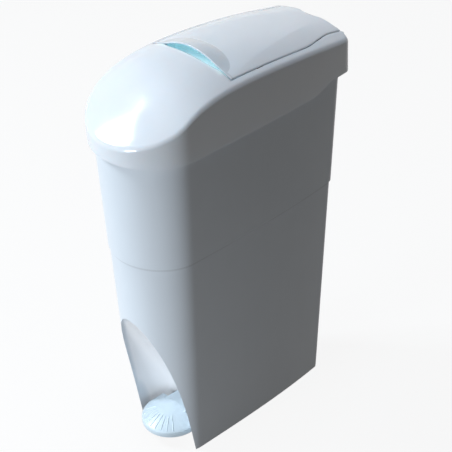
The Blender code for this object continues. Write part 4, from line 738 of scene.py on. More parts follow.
def top_level(x, y):
    """The height of the crowned top, which meets the shoulder at the sides."""
    share = length_share(y)
    front = 1 - np.clip(1 - share / CROWN_FRONT_SHARE, 0, None) ** CROWN_FRONT_POWER
    back = CROWN_FALL_TO_BACK * np.clip((share - CROWN_BACK_SHARE) / (1 - CROWN_BACK_SHARE), 0, None)
    across = np.clip(np.abs(x) / np.maximum(half_width_at(y), 1e-6), 0, 1)
    return shoulder_level(y) + (CROWN_RISE * front - back) * (1 - across**CROWN_ROUNDNESS)


def seam_half_width(y):
    y = np.minimum(y, SEAM_BEND[1])
    bend = smooth_step((y - SEAM_BEND[0]) / (SEAM_BEND[1] - SEAM_BEND[0]))
    return half_width_at(y) - (SEAM_INSET + bend * (SEAM_BACK_INSET - SEAM_INSET))


def hood_shell(wall, columns=65, arc_steps=7):
    """One skin of the hood, drawn in by the wall: skirt, rounded shoulder and crowned top, open below."""
    counts = dict(nose_points=60, side_points=84, corner_points=10)
    shares = np.linspace(-1, 1, columns)
    radius = SHOULDER_RADIUS

    def loop_at(inset):
        return whole_plan(HOOD_PLAN, wall + inset, columns - 1, **counts)[0]

    def skirt_level(s):
        return lambda x, y: (1 - s) * foot_level(x, y) + s * (shoulder_level(y) - radius - wall)

    foot, edge = loop_at(0.0), loop_at(radius)
    rings = [ring_of(foot, skirt_level(share)) for share in (0, 0.25, 0.5, 0.75)]
    top = top_level(edge[:, 0], edge[:, 1])
    for k in range(arc_steps + 1):
        angle = math.pi / 2 * k / arc_steps
        loop = loop_at(radius * (1 - math.cos(angle)))
        drop = radius * (1 - math.sin(angle))
        shoulder = shoulder_level(loop[:, 1])
        share = k / arc_steps
        level = shoulder + share**2 * (top - shoulder) - drop - wall
        rings.append(np.column_stack([loop, level]))
    count = len(foot)
    vertices = list(np.concatenate(rings))
    faces = bands(len(rings), count)
    first = (len(rings) - 1) * count
    upper, _ = half_plan(HOOD_PLAN, wall + radius, **counts)
    rows = []
    for i in range(1, len(upper)):
        x_end, y = upper[i]
        if i == len(upper) - 1:
            middle = [first + len(upper) - 1 + k for k in range(1, columns - 1)][::-1]
        else:
            middle = list(range(len(vertices), len(vertices) + columns - 2))
            inner = x_end * shares[1:-1]
            levels = top_level(inner, np.full(len(inner), y)) - wall
            vertices += [np.array([px, y, pz]) for px, pz in zip(inner, levels)]
        rows.append([first + count - i, *middle, first + i])
    for k in range(columns - 1):
        faces.append((first, rows[0][k], rows[0][k + 1]))
    for row, after in zip(rows[:-1], rows[1:]):
        for k in range(columns - 1):
            faces.append((row[k], after[k], after[k + 1], row[k + 1]))
    return vertices, faces, count


def slab(name, rows, half, low, high, columns=41, left=None):
    """A slab whose plan runs from left(y), or minus half(y), to half(y). Its faces follow low and high."""
    rings = []
    for y in rows:
        near = left(y) if left else -half(y)
        xs = np.linspace(float(near), float(half(y)), columns)
        ys = np.full(columns, y)
        bottom = np.column_stack([xs, ys, np.broadcast_to(low(xs, ys), columns)])
        top = np.column_stack([xs, ys, np.broadcast_to(high(xs, ys), columns)])[::-1]
        rings.append(np.concatenate([bottom, top]))
    return new_object(name, *loft(rings))


def below_top(depth):
    return lambda x, y: top_level(x, np.minimum(y, HOOD_PLAN["back"])) - depth


def seat_cutter():
    """What is cut away for the flap: its seat, with the rounded upper edge that the hood has round it."""
    arc = np.linspace(0, math.radians(78), 6)
    swell = EDGE_RADIUS * (1 - np.cos(arc))
    lift = EDGE_RADIUS * np.sin(arc)
    flare_out, flare_up = 1.4 * EDGE_RADIUS, 0.35 * EDGE_RADIUS
    rows = [(SEAM_FRONT - flare_out, flare_up)]
    rows += [(SEAM_FRONT - s, h - EDGE_RADIUS) for s, h in zip(swell[::-1], lift[::-1])]
    rows += [(SEAM_FRONT + 1e-5, -SEAT_DEPTH)]
    rows += [(y, -SEAT_DEPTH) for y in np.linspace(SEAM_FRONT + 0.003, SIDE_SEAT_END - 0.001, 40)]
    rows += [(y, None) for y in np.linspace(SIDE_SEAT_END, HOOD_PLAN["back"] + 0.005, 16)]
    rings = []
    for y, offset in rows:
        inside = min(y, HOOD_PLAN["back"])
        seam = float(seam_half_width(inside))
        xs = np.linspace(-seam, seam, 49)
        ys = np.full(len(xs), y)
        top = top_level(xs, np.full(len(xs), inside))
        floor_level = np.full(len(xs), HINGE_Z - HINGE_ROOM) if offset is None else top + offset
        bottom = np.column_stack([xs, ys, floor_level])
        edge = float(top_level(seam, inside))
        side = [(seam + s, y, max(edge - EDGE_RADIUS + h, floor_level[-1])) for s, h in zip(swell, lift)]
        side.append((seam + flare_out, y, max(edge + flare_up, floor_level[-1] + 1e-5)))
        side.append((seam + flare_out, y, edge + 0.03))
        left = [(-x, py, z) for x, py, z in side[::-1]]
        rings.append(np.concatenate([bottom, side, left]))
    return new_object("seat_cutter", *loft(rings))


def trough_half(y):
    return 0.80 * float(seam_half_width(SEAM_FRONT))


def trough_depth(x, y):
    """The trough slopes in from ahead of the seam, and its slope runs out towards its sides."""
    side = np.clip(np.abs(x) / trough_half(y), 0, 1) ** 4
    start = SEAM_FRONT - TROUGH_SLOPE_LENGTH * (1 - side)
    return (TROUGH_DEPTH + 0.0003) * smooth_step((y - start) / TROUGH_SLOPE_RUN) - 0.0003


outer, outer_faces, count = hood_shell(0.0)
inner, inner_faces, _ = hood_shell(HOOD_WALL)
shift = len(outer)
vertices = outer + inner
faces = outer_faces + [tuple(shift + v for v in face[::-1]) for face in inner_faces]
for i in range(count):
    j = (i + 1) % count
    faces.append((i, shift + i, shift + j, j))
hood = new_object("hood_shell", vertices, faces)
seat_rows = list(np.linspace(SEAM_FRONT - SEAT_WALL, HOOD_PLAN["back"] - 0.0015, 48))
seat_frame = slab(
    "seat_frame",
    seat_rows,
    lambda y: seam_half_width(y) + SEAT_WALL,
    below_top(SEAT_DEPTH + SEAT_WALL),
    below_top(0.5 * HOOD_WALL),
)
trough_start, trough_end = SEAM_FRONT - TROUGH_SLOPE_LENGTH, SEAM_FRONT + TROUGH_LENGTH
trough = slab(
    "trough_wall",
    list(np.linspace(trough_start - SEAT_WALL, trough_end + SEAT_WALL, 20)),
    lambda y: trough_half(y) + SEAT_WALL,
    lambda x, y: top_level(x, y) - trough_depth(x, y) - 0.3 * HOOD_WALL - SEAT_WALL,
    below_top(0.3 * HOOD_WALL),
)
hinge_half = float(seam_half_width(HINGE_Y))
cheeks = []
for sign in (-1, 1):
    ends = sorted((sign * (hinge_half - 0.001), sign * (hinge_half + 0.007)))
    cheeks.append(
        slab(
            f"cheek_{sign}",
            [HINGE_Y - 0.012, HINGE_Y, HINGE_Y + 0.012],
            lambda y, x=ends[1]: x,
            lambda x, y: HINGE_Z - 0.011,
            below_top(0.7 * HOOD_WALL),
            5,
            lambda y, x=ends[0]: x,
        )
    )
combine(hood, "UNION", *cheeks, seat_frame, trough)
trough_space = slab(
    "finger_trough",
    list(np.linspace(trough_start, trough_end, 36)),
    trough_half,
    lambda x, y: top_level(x, y) - trough_depth(x, y),
    below_top(-0.02),
)
opening = slab(
    "flap_opening",
    list(np.linspace(trough_end + SEAT_WALL, SIDE_SEAT_END, 24)),
    lambda y: seam_half_width(y) - 0.008,
    below_top(0.03),
    below_top(-0.02),
)
combine(hood, "DIFFERENCE", seat_cutter(), trough_space, opening)
for sign in (-1, 1):
    ends = sign * (hinge_half - 0.004), sign * (hinge_half + 0.0065)
    combine(hood, "DIFFERENCE", cross_bar("bush_bore", *ends, HINGE, BUSH_BORE_RADIUS))


# Painted light: the trough under the finger gap is painted paler and glows, standing in for daylight through
# the thin walls round it.
TROUGH_GLOW_START = (-0.010, 0.002)
TROUGH_GLOW_END = 0.004
TROUGH_GLOW_SIDE = (0.054, 0.060)
TROUGH_PAINTED_LIGHT = (0.86, 0.99, 1.0)
TROUGH_PAINTED_GLOW = (0.08, 0.17, 0.20)


def trough_wall(place):
    """Where the trough under the finger gap is: painted light, a paler colour and a glow that stand in for
    the bluish daylight coming through the thin walls round it.
    """
    across, along, _ = parts_of(place)
    behind = soft_step(along, *(SEAM_FRONT + end for end in TROUGH_GLOW_START))
    end = SEAM_FRONT + TROUGH_LENGTH
    ahead = 1 - soft_step(along, end, end + TROUGH_GLOW_END)
    beside = 1 - soft_step(across.math("ABSOLUTE", across), *TROUGH_GLOW_SIDE)
    return behind * ahead * beside


hood_look = (0.80, 0.86, 0.93), 0.15, 0.3, 1300.0, 0.02, 0.5, 0.3
# The hood's painted place: painted light in the trough under the finger gap.
hood_places = [(trough_wall, TROUGH_PAINTED_LIGHT, TROUGH_PAINTED_GLOW)]
hood_paint = moulded_paint("hood_plastic", *hood_look, places=hood_places)
finish_piece(hood, hood_paint, "hood", ["hood"])


# Flap: the lid in the hood's back, of the same glossy plastic, crowned like the hood with a soft fold towards
# its back. Its front edge rises in an arched lip for the fingers, and its back curls down round the hinge.
FLAP_THICKNESS = 0.0024
FLAP_EDGE_GAP = 0.0017
FLAP_BACK_RADIUS = 0.0225
LIP_RISE = 0.0074
LIP_HALF_WIDTH = 0.053
LIP_ARCH, LIP_SLOPE = 1.4, 0.85
LIP_VALLEY = 0.030
VALLEY_HALF_WIDTH = 0.058
VALLEY_LEAST, VALLEY_POWER = 0.02, 0.42
VALLEY_FADE = 0.0012
# Painted shade: the valley behind the lip is painted darker.
VALLEY_SHADE_COLOUR = (0.655, 0.700, 0.745)
RIDGE_HEIGHT = 0.0012
CORNER_EASE = 0.0025
BACK_END = -math.radians(23)
KNUCKLE_SHARES = (-0.92, -0.295, 0.295, 0.92)
KNUCKLE_RADIUS = 0.006
PIN_BORE_RADIUS = 0.0023
CRANK_ANGLE = math.radians(30)
CRANK_BEHIND_ROD = 0.0055


def ridge_half_width(y):
    share = (np.asarray(y, float) - SEAM_FRONT) / (HOOD_PLAN["back"] - SEAM_FRONT)
    start = float(seam_half_width(SEAM_FRONT)) - 0.004
    return start + share * (0.018 - start)


def valley_length(x):
    across = 1 - (np.asarray(x, float) / VALLEY_HALF_WIDTH) ** 2
    return LIP_VALLEY * np.clip(across, VALLEY_LEAST, None) ** VALLEY_POWER


def valley_painted_shade(place):
    """The valley behind the lip, painted a little darker: painted shade on its slope."""
    across, along, _ = parts_of(place)
    share = across / VALLEY_HALF_WIDTH
    reach = LIP_VALLEY * across.math("MAXIMUM", 1 - share * share, VALLEY_LEAST) ** VALLEY_POWER
    return soft_step(reach - (along - SEAM_FRONT), 0.0, VALLEY_FADE)


def flap_top(x, y):
    """The height of the flap's top: the crown, the soft fold and the lip."""
    x, y = np.asarray(x, float), np.asarray(y, float)
    edge = seam_half_width(y) - FLAP_EDGE_GAP
    fold = ridge_half_width(y)
    fade = 1 - smooth_step((y - 0.10) / 0.06)
    strength = RIDGE_HEIGHT * fade * np.clip((edge - fold) / 0.02, 0, 1)
    inside = strength * (np.abs(x) / fold) ** 2
    outside = strength * np.clip((edge - np.abs(x)) / np.maximum(edge - fold, 1e-6), 0, None)
    fold_rise = np.where(np.abs(x) <= fold, inside, outside)
    across = np.clip(1 - (x / LIP_HALF_WIDTH) ** 2, 0, None) ** LIP_ARCH
    behind = (y - SEAM_FRONT) / np.maximum(valley_length(x), 1e-6)
    lip = LIP_RISE * across * np.clip(1 - behind, 0, None) ** LIP_SLOPE
    return top_level(x, y) + fold_rise + lip


def back_corner(x):
    """Where the flap's top runs into the round back that turns about the hinge."""
    y = np.full(len(x), HINGE_Y + 0.015)
    for _ in range(8):
        y = HINGE_Y + np.sqrt(FLAP_BACK_RADIUS**2 - (flap_top(x, y) - HINGE_Z) ** 2)
    return y


def flap_columns(y, lanes):
    """Places across the flap: close together at its edges for their rounding, and one on each fold."""
    edge = float(seam_half_width(min(y, HOOD_PLAN["back"]))) - FLAP_EDGE_GAP
    fold = min(float(ridge_half_width(y)), edge - 0.004)
    bull = FLAP_THICKNESS / 2 * (1 - np.cos(np.linspace(0, np.pi / 2, 5)))
    outer = np.linspace(fold, edge - bull[-1], lanes)[1:-1]
    right = np.concatenate([np.linspace(0, fold, lanes), outer, edge - bull[::-1]])
    return np.concatenate([-right[:0:-1], right])


def round_back(angle):
    along, up = FLAP_BACK_RADIUS * np.cos(angle), FLAP_BACK_RADIUS * np.sin(angle)
    return np.column_stack([HINGE_Y + along, HINGE_Z + up])


def flap_rings(lanes=17):
    """Rings over the flap: its rounded front edge, its lip and top, an eased corner and the round back."""
    half = FLAP_THICKNESS / 2
    front = SEAM_FRONT + FLAP_EDGE_GAP
    quarter = np.linspace(0, np.pi / 2, 5)
    start = flap_columns(front, lanes)
    valley = valley_length(start)
    rows = [(front + half * (1 - np.cos(a)) + 0 * valley, np.sin(a)) for a in quarter]
    rows += [(front + half + share * (valley - half), 1.0) for share in np.linspace(0, 1, 20)[1:]]
    begin, flat_end = front + valley, back_corner(start) - CORNER_EASE
    rows += [(begin + share * (flat_end - begin), 1.0) for share in np.linspace(0, 1, 44)[1:]]

    def side_full(x, y):
        edge = seam_half_width(np.minimum(y, HOOD_PLAN["back"])) - FLAP_EDGE_GAP
        gap = np.clip((edge - np.abs(x)) / half, 0, 1)
        return np.sqrt(np.clip(1 - (1 - gap) ** 2, 0, 1))

    def skin_ring(x, middle, offset):
        outer, inner = (np.column_stack([x, middle + sign * offset]) for sign in (1, -1))
        return np.concatenate([outer, inner[::-1]])

    rings = []
    for y, full in rows:
        x = np.array([flap_columns(v, lanes)[k] for k, v in enumerate(y)])
        thick = half * full * side_full(x, y)
        middle = np.column_stack([y, flap_top(x, y) - half])
        rings.append(skin_ring(x, middle, np.column_stack([0 * thick, thick])))
    first = np.column_stack([y, flap_top(x, y)])
    corner_y = back_corner(x)
    corner = np.column_stack([corner_y, flap_top(x, corner_y)])
    begin = np.arctan2(corner[:, 1] - HINGE_Z, corner[:, 0] - HINGE_Y) - CORNER_EASE / FLAP_BACK_RADIUS
    second = round_back(begin)
    steps = [("ease", share, 1.0) for share in np.linspace(0, 1, 7)[1:]]
    steps += [("arc", share, 1.0) for share in np.linspace(0, 1, 18)[1:]]
    steps += [("arc", 1.0, math.cos(angle)) for angle in quarter[1:]]
    side = side_full(x, np.full(len(x), HINGE_Y + 0.02))
    for kind, share, full in steps:
        if kind == "ease":
            point = (1 - share) ** 2 * first + 2 * share * (1 - share) * corner + share**2 * second
            lean = np.pi / 2 + share * (begin - np.pi / 2)
        else:
            lean = begin + share * (BACK_END - begin) - half / FLAP_BACK_RADIUS * math.sqrt(1 - full**2)
            point = round_back(lean)
        normal = np.column_stack([np.cos(lean), np.sin(lean)])
        rings.append(skin_ring(x, point - half * normal, normal * (half * full * side)[:, None]))
    return rings


def under_flap(x, y, into=0.001):
    """The height of the flap's underside and a little into it, so that what hangs there joins it."""
    return float(flap_top(x, y)) - FLAP_THICKNESS + into


flap = new_object("flap_lid", *loft(flap_rings()))
webs = []
for share in KNUCKLE_SHARES:
    x = share * hinge_half
    angles = np.linspace(math.radians(8), -math.radians(188), 25)
    arc = [(KNUCKLE_RADIUS * math.cos(a), KNUCKLE_RADIUS * math.sin(a)) for a in angles]
    barrel = [(HINGE_Y + along, HINGE_Z + up) for along, up in arc]
    ceiling = [(y, under_flap(x, y)) for y in (HINGE_Y - 0.012, HINGE_Y, HINGE_Y + 0.010)]
    webs.append(plate("knuckle", barrel + ceiling, x - 0.002, x + 0.002))
crank = (HINGE_Y - ROD_Y - CRANK_BEHIND_ROD) / math.cos(CRANK_ANGLE)
nose_y, nose_z = HINGE_Y - crank * math.cos(CRANK_ANGLE), HINGE_Z - crank * math.sin(CRANK_ANGLE)
nose_tip = [(nose_y - 0.004, nose_z), (nose_y, nose_z - 0.0035), (nose_y + 0.004, nose_z)]
roots = [(y, under_flap(0.0, y)) for y in (HINGE_Y - 0.036, HINGE_Y - 0.012)]
webs.append(plate("crank_web", [roots[0], *nose_tip, roots[1]], -0.003, 0.003))
webs.append(cross_bar("crank_nose", -0.007, 0.007, (nose_y, nose_z), 0.004))
TRAY_Y = HINGE_Y - 0.0395
TRAY_HALF = 0.78 * float(seam_half_width(TRAY_Y))
tray_screw_places = [sign * 0.58 * TRAY_HALF for sign in (-1, 1)]
for x in tray_screw_places:
    top = (x + 0.006, TRAY_Y - 0.0023, under_flap(x, TRAY_Y, 0.0008))
    webs.append(block("tray_boss", (x - 0.006, TRAY_Y - 0.0095, HINGE_Z - 0.004), top))
combine(flap, "UNION", *webs)
combine(flap, "DIFFERENCE", cross_bar("pin_bore", -0.07, 0.07, HINGE, PIN_BORE_RADIUS))
# The flap's painted place: painted shade in the valley behind the lip.
flap_places = [(valley_painted_shade, VALLEY_SHADE_COLOUR, None)]
flap_paint = moulded_paint("flap_plastic", *hood_look, places=flap_places)
finish_piece(flap, flap_paint, "flap", ["flap"])


# Modesty tray: a bent channel of satin plastic that hangs under the flap on two screws. It fills the opening
# as the flap lifts, so the contents stay out of sight, and drops what lies on it as the flap shuts.
TRAY_SLOPE = math.radians(30)
TRAY_LIP_SLOPE = 1.1
TRAY_WALL = 0.002
TRAY_SIDE = 0.010


def tray_path():
    """The tray's line in the side view: a flat hanger, a soft bend, the sloping floor and its end lip."""
    hang = np.array([TRAY_Y, HINGE_Z + 0.010])
    low_hang = hang - np.array([0.0, 0.014])
    bend = np.array([HINGE_Y - 0.037, HINGE_Z - 0.088])
    end = bend + 0.078 * np.array([-math.sin(TRAY_SLOPE), -math.cos(TRAY_SLOPE)])
    into = (bend - low_hang) / np.linalg.norm(bend - low_hang)
    out = (end - bend) / np.linalg.norm(end - bend)
    start_bend, end_bend = bend - 0.014 * into, bend + 0.014 * out
    points = [hang, hang * 0.5 + low_hang * 0.5, low_hang]
    points += [low_hang + s * (start_bend - low_hang) for s in (0.33, 0.66)]
    for t in np.linspace(0, 1, 14):
        points.append((1 - t) ** 2 * start_bend + 2 * t * (1 - t) * bend + t**2 * end_bend)
    points += [end_bend + s * (end - end_bend) for s in (0.25, 0.5, 0.75, 1.0)]
    lip = np.array([-math.sin(TRAY_LIP_SLOPE), -math.cos(TRAY_LIP_SLOPE)])
    points += [end + s * 0.010 * lip for s in (0.35, 0.7, 1.0)]
    return points


def channel_section(half, side, thick, radius=0.0022):
    """A shallow channel's section as (across, height) points, with rounded bends and rims."""
    turns = np.linspace(0, np.pi / 2, 6)
    rim = np.linspace(0, np.pi, 7)[1:-1]
    outer = [(half - radius + radius * math.sin(a), radius - radius * math.cos(a)) for a in turns]
    thin = thick / 2
    top = [(half - thin + thin * math.cos(a), side - thin + thin * math.sin(a)) for a in rim]
    small = max(radius - 0.4 * thick, 0.0006)
    inner = [(half - thick - small * (1 - math.cos(a)), thick + small * (1 - math.sin(a))) for a in turns]
    right_side = outer + top + inner
    return [(-x, h) for x, h in right_side[::-1]] + right_side


tray_points = tray_path()
rings = []
for k, point in enumerate(tray_points):
    along = tray_points[min(k + 1, len(tray_points) - 1)] - tray_points[max(k - 1, 0)]
    along = along / np.linalg.norm(along)
    normal = np.array([along[1], -along[0]])
    run = k / (len(tray_points) - 1)
    side = TRAY_SIDE * min(1.0, 0.27 + 3.2 * run) * (1 - 0.4 * float(smooth_step((run - 0.88) / 0.12)))
    rings.append([(x, *(point + h * normal)) for x, h in channel_section(TRAY_HALF, side, TRAY_WALL)])
tray = new_object("tray_channel", *loft(rings))
for x in tray_screw_places:
    inner_end, outer_end = ((x, TRAY_Y + along, HINGE_Z + 0.004) for along in (-0.006, 0.004))
    combine(tray, "DIFFERENCE", round_bar("tray_hole", inner_end, outer_end, 0.0018))
inner_paint = moulded_paint("inner_plastic", (0.70, 0.76, 0.80), 0.42, 1.2, 700.0, 0.05, 0.0)
finish_piece(tray, inner_paint, "flap", ["modesty_tray"])


# Liner ring: the loose frame of satin plastic that lies on the rim, under the hood. The bag's neck is folded
# over its skirt, which reaches about 14 mm down into the body.
RING_LOW, RING_HIGH = BODY_TOP + 0.0003, BODY_TOP + 0.0023
RING_EDGE = 0.0050
RING_ROUND_OFF = 0.0006
body_top_plan = body_plan(BODY_TOP)
profile = [
    (HOOD_PLAN, RING_EDGE + RING_ROUND_OFF, RING_HIGH),
    (HOOD_PLAN, RING_EDGE, RING_HIGH - RING_ROUND_OFF),
    (HOOD_PLAN, RING_EDGE, RING_LOW + RING_ROUND_OFF),
    (HOOD_PLAN, RING_EDGE + RING_ROUND_OFF, RING_LOW),
    (body_top_plan, 0.0033, RING_LOW),
    (body_top_plan, 0.0040, RING_LOW - 0.0136),
    (body_top_plan, 0.0044, RING_LOW - 0.0140),
    (body_top_plan, 0.0054, RING_LOW - 0.0140),
    (body_top_plan, 0.0058, RING_LOW - 0.0136),
    (body_top_plan, 0.0058, RING_HIGH - 2 * RING_ROUND_OFF),
    (body_top_plan, 0.0052, RING_HIGH - 0.3 * RING_ROUND_OFF),
    (body_top_plan, 0.0044, RING_HIGH),
]
liner_rings = [ring_of(whole_plan(plan, inset)[0], level) for plan, inset, level in profile]
ring = new_object("liner_frame", *loft(liner_rings, True))
finish_piece(ring, inner_paint, "container", ["liner_ring"])


# Pedal: a thick tongue of bluish plastic in the toe recess, hollow below, with nine thin ribs down its nose
# for grip. Its neck goes through the recess's back to the hub on the axle, and an arm runs on to the rod.
AXLE = AXLE_Y, AXLE_Z = -0.045, 0.032
PAD_RADIUS = 0.040
PAD_Y = -0.102
PAD_BACK = -0.082
PAD_BOTTOM = 0.0165
ARM_NOSE = (ROD_Y, AXLE_Z - crank * math.sin(CRANK_ANGLE))
RIB_HALF_WIDTH = 0.0006
RIB_HEIGHT = 0.0005
RIB_LEAN = 0.0002
RIB_SPACING = math.radians(13.0)


def pad_ring(inset, level):
    angles = np.linspace(-np.pi / 2, np.pi / 2, 61)
    radius = PAD_RADIUS - inset
    nose = [(radius * math.sin(a), PAD_Y - radius * math.cos(a), level) for a in angles]
    back = PAD_BACK - min(inset, 0.010)
    corner = 0.003
    turns = np.linspace(0, np.pi / 2, 5)
    right = [(radius - corner * (1 - math.cos(a)), back - corner * (1 - math.sin(a)), level) for a in turns]
    left = [(-x, y, z) for x, y, z in right[::-1]]
    return nose + right + left


pad_profile = [(0.0032, 0.0), (0.0014, 0.0003), (0.0004, 0.0011), (0.0, 0.0022), (0.0, 0.0078)]
pad_profile += [(0.0004, 0.0087), (0.0014, 0.0094), (0.0030, 0.0104), (0.0065, 0.0124), (0.0105, 0.0145)]
pad_profile += [(0.0150, 0.0167), (0.0200, 0.0188), (0.0255, 0.0206), (0.0310, 0.0217), (0.0350, 0.0220)]
pocket_profile = [(0.003, -0.01), (0.003, 0.0040), (0.0060, 0.0066), (0.0105, 0.0098), (0.0155, 0.0128)]
pocket_profile += [(0.0215, 0.0158), (0.0280, 0.0178)]
pedal, pocket = (
    new_object(name, *loft([pad_ring(inset, PAD_BOTTOM + rise) for inset, rise in profile]))
    for name, profile in (("pedal_tongue", pad_profile), ("pad_pocket", pocket_profile))
)
combine(pedal, "DIFFERENCE", pocket)
neck = block("neck", (-0.020, -0.0955, AXLE_Z - 0.006), (0.020, AXLE_Y, AXLE_Z + 0.0045))
hub = cross_bar("hub", -0.026, 0.026, AXLE, 0.008, 40)


def bar_outline(first, first_radius, second, second_radius, steps=12):
    """The side view of a bar with two round ends."""
    way = np.array(second) - np.array(first)
    heading = math.atan2(way[1], way[0])
    lean = math.asin((first_radius - second_radius) / np.linalg.norm(way))
    outline = []
    for centre, radius, start_angle, sweep in (
        (first, first_radius, heading + math.pi / 2 - lean, math.pi + 2 * lean),
        (second, second_radius, heading - math.pi / 2 + lean, math.pi - 2 * lean),
    ):
        for k in range(steps + 1):
            a = start_angle + sweep * k / steps
            outline.append((centre[0] + radius * math.cos(a), centre[1] + radius * math.sin(a)))
    return outline


arm = plate("arm", bar_outline(AXLE, 0.007, ARM_NOSE, 0.005), -0.008, 0.008)
combine(pedal, "UNION", neck, hub, arm)
combine(pedal, "DIFFERENCE", cross_bar("axle_bore", -0.04, 0.04, AXLE, 0.0033))
pedal_paint = moulded_paint("pedal_plastic", (0.69, 0.81, 0.89), 0.36, 1.0, 800.0, 0.06, 0.1)
finish_piece(pedal, pedal_paint, "pedal", ["pedal"])


def rib_tree():
    """Ribs set round an arc, each turned to face outwards."""
    sizes = dict.fromkeys(("Spacing", "Radius", "Centre Y", "Level"), "Float")
    tree, given = new_tree("arc_of_ribs", Rib="Geometry", Count="Int", **sizes)
    start = given["Rib"]
    points = start.node("GeometryNodeMeshLine", None, {"Count": given["Count"]}, "Mesh")
    index = start.node("GeometryNodeInputIndex")
    angle = (index - (given["Count"] - 1) * 0.5) * given["Spacing"]
    x = angle.math("SINE", angle) * given["Radius"]
    y = given["Centre Y"] - angle.math("COSINE", angle) * given["Radius"]
    place = start.node("ShaderNodeCombineXYZ", None, {"X": x, "Y": y, "Z": given["Level"]})
    placed_points = start.node("GeometryNodeSetPosition", None, {"Geometry": points, "Position": place})
    turn = start.node("ShaderNodeCombineXYZ", None, {"Z": angle})
    rotation = start.node("FunctionNodeEulerToRotation", None, {"Euler": turn})
    values = {"Points": placed_points, "Instance": start, "Rotation": rotation}
    set_out = start.node("GeometryNodeInstanceOnPoints", None, values)
    return close_tree(tree, set_out, given["Paint"])


rib_rows = [(0.0030, 0.0094), (0.0024, 0.0100)]
rib_rows += [(inset - 0.0001, rise + 0.0001) for inset, rise in pad_profile if 0.010 < rise < 0.0200]
rib_rows += [(0.0235, 0.0192)]
rings = []
for inset, rise in rib_rows:
    section = []
    for a in np.linspace(0, np.pi, 7):
        x, out = RIB_HALF_WIDTH * math.cos(a), math.sin(a)
        section.append((x, inset - RIB_LEAN * out, rise + RIB_HEIGHT * out))
    section += [(x, inset + 0.0020, rise - 0.0012) for x in (-RIB_HALF_WIDTH, RIB_HALF_WIDTH)]
    rings.append(section)
ribs = new_object("pedal_ribs", *loft(rings))
arc = dict(Spacing=RIB_SPACING, Radius=PAD_RADIUS, Centre_Y=PAD_Y, Level=PAD_BOTTOM)
run_tree(ribs, rib_tree(), Count=9, Paint=pedal_paint, **arc)
smooth(ribs.data, 50)
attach(ribs, "pedal")


# Screws: short zinc-plated pan heads with a cross recess. They hold the tray, the tube's clips, the bearings
# and the base plate.
HEAD_HEIGHT = 0.002
LONG_SCREW = 0.011
SHORT_STRETCH = 0.62


def screw_tree():
    """One screw copied to each point, turned as the point's own turn says."""
    tree, given = new_tree("screws_at_points", Points="Geometry", Screw="Object")
    start = given["Points"]
    source = {"Object": given["Screw"], "As Instance": True}
    screw = start.node("GeometryNodeObjectInfo", None, source, "Geometry")

    def stored(kind, name):
        return start.node("GeometryNodeInputNamedAttribute", {"data_type": kind}, {"Name": name}, "Attribute")

    rotation = start.node("FunctionNodeEulerToRotation", None, {"Euler": stored("FLOAT_VECTOR", "turn")})
    stretch = start.node("ShaderNodeCombineXYZ", None, {"X": 1.0, "Y": 1.0, "Z": stored("FLOAT", "length")})
    values = {"Points": start, "Instance": screw, "Rotation": rotation, "Scale": stretch}
    set_out = start.node("GeometryNodeInstanceOnPoints", None, values)
    return close_tree(tree, set_out, given["Paint"])


def metal_paint(name, colour, roughness, brushed):
    """Bright metal with fine drawn lines and a little dullness from handling."""
    material, start, place = new_paint(name)
    lines = noise(stretched(place, brushed), 1.0, 4.0)
    patches = noise(place, 60.0, 4.0)
    dark = tuple(0.78 * channel for channel in colour)
    stops = [(0.3, (*dark, 1.0)), (0.7, (*colour, 1.0))]
    tint = start.node("ShaderNodeValToRGB", {"stops": stops}, {"Fac": lines * 0.5 + patches * 0.5})
    bump = start.node("ShaderNodeBump", None, {"Strength": 0.25, "Distance": 0.00005, "Height": lines})
    end_paint(start, Base_Color=tint, Metallic=1.0, Roughness=roughness + (patches - 0.5) * 0.2, Normal=bump)
    return material


steel_paint = metal_paint("steel", (0.62, 0.63, 0.65), 0.30, (900.0, 900.0, 40.0))
head = [(0.0024, 0.0020), (0.0028, 0.00185), (0.0031, 0.0014), (0.0032, 0.0008), (0.0032, 0.0)]
shank = [(0.0015, 0.0), (0.0015, -0.0105), (0.0009, -0.0120)]
angles = np.linspace(0, 2 * np.pi, 24, endpoint=False)
rings = [[(r * math.cos(a), r * math.sin(a), z) for a in angles] for r, z in head + shank]
screw = new_object("screw_pattern", *loft(rings))
crosses = [block("cross", (-x, -y, 0.0010), (x, y, 0.003)) for x, y in ((0.0018, 0.0004), (0.0004, 0.0018))]
combine(screw, "DIFFERENCE", *crosses)
smooth(screw.data, 30)
screw_places = {"container": [], "flap": []}
screw_nodes = {"container": [], "flap": []}
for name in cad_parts:
    if "_screw" not in name:
        continue
    low_corner, high_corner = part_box(name)
    middle = (low_corner + high_corner) / 2
    size = high_corner - low_corner
    owner = "flap" if name.startswith("tray") else "container"
    screw_nodes[owner].append(name)
    if name.startswith("tray"):
        place, turn = (middle.x, high_corner.y - HEAD_HEIGHT, middle.z), (-math.pi / 2, 0.0, 0.0)
    elif name.startswith("clip"):
        place, turn = (middle.x, low_corner.y + HEAD_HEIGHT, middle.z), (math.pi / 2, 0.0, 0.0)
    else:
        place, turn = (middle.x, middle.y, low_corner.z + HEAD_HEIGHT), (math.pi, 0.0, 0.4)
    stretch = 1.0 if max(size) - HEAD_HEIGHT > LONG_SCREW else SHORT_STRETCH
    screw_places[owner].append((place, turn, stretch))
screws_tree = screw_tree()
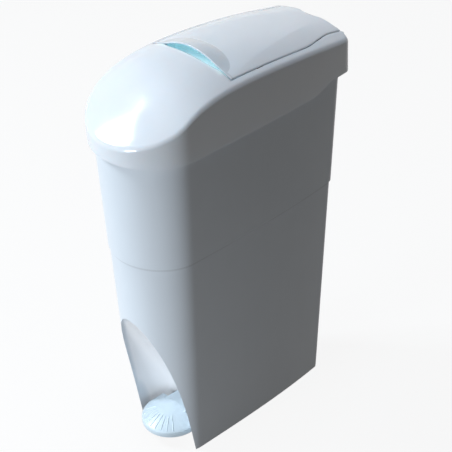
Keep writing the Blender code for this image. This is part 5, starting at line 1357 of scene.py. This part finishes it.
for owner, places in screw_places.items():
    points, turns, stretches = zip(*places)
    mesh = bpy.data.meshes.new(f"{owner}_screws")
    mesh.from_pydata(points, [], [])
    store(mesh, "turn", turns)
    store(mesh, "length", stretches)
    screws = placed(f"{owner}_screws", mesh)
    run_tree(screws, screws_tree, Screw=screw, Paint=steel_paint)
    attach(screws, owner)
    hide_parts(*screw_nodes[owner])
bpy.data.objects.remove(screw, do_unlink=True)


# Small working parts: the hinge pin and its nylon bushes, the rod with its tip, foot, tube and clips, the
# axle in its bearings, the rubber buffers and the grey base plate. They are the frame's own solids, finished.
def rubber_paint():
    material, start, place = new_paint("rubber")
    fine, dust = noise(place, 900.0, 3.0), noise(place, 120.0, 4.0)
    stops = [(0.35, (0.035, 0.035, 0.038, 1.0)), (0.75, (0.11, 0.11, 0.11, 1.0))]
    tint = start.node("ShaderNodeValToRGB", {"stops": stops}, {"Fac": dust})
    bump = start.node("ShaderNodeBump", None, {"Strength": 0.4, "Distance": 0.0001, "Height": fine})
    end_paint(start, Base_Color=tint, Roughness=0.65 + dust * 0.2, Normal=bump)
    return material


nylon_paint = moulded_paint("nylon", (0.72, 0.72, 0.67), 0.44, 0.8, 600.0, 0.06, 0.0)
base_paint = moulded_paint("base_plastic", (0.40, 0.42, 0.44), 0.50, 1.5, 600.0, 0.10, 0.0)
dark_rubber = rubber_paint()
for nodes, body_name, slot, paint in (
    ("flap_hinge_pin", "hood", "steel", steel_paint),
    ("hinge_bush_left hinge_bush_right", "hood", "nylon", nylon_paint),
    ("flap_buffer_left flap_buffer_right", "hood", "rubber", dark_rubber),
    ("push_rod", "rod", "steel", steel_paint),
    ("rod_tip rod_foot", "rod", "nylon", nylon_paint),
    ("rod_tube", "container", "inner_plastic", inner_paint),
    ("tube_clip_lower tube_clip_upper", "container", "nylon", nylon_paint),
    ("pedal_axle", "container", "steel", steel_paint),
    ("axle_bearing_left axle_bearing_right", "container", "nylon", nylon_paint),
    ("arm_buffer", "container", "rubber", dark_rubber),
    ("base_plate", "container", "base_plastic", base_paint),
):
    for node in nodes.split():
        copy = placed(f"{node}_finish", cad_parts[node].data.copy())
        finish_piece(copy, paint, body_name, [node])
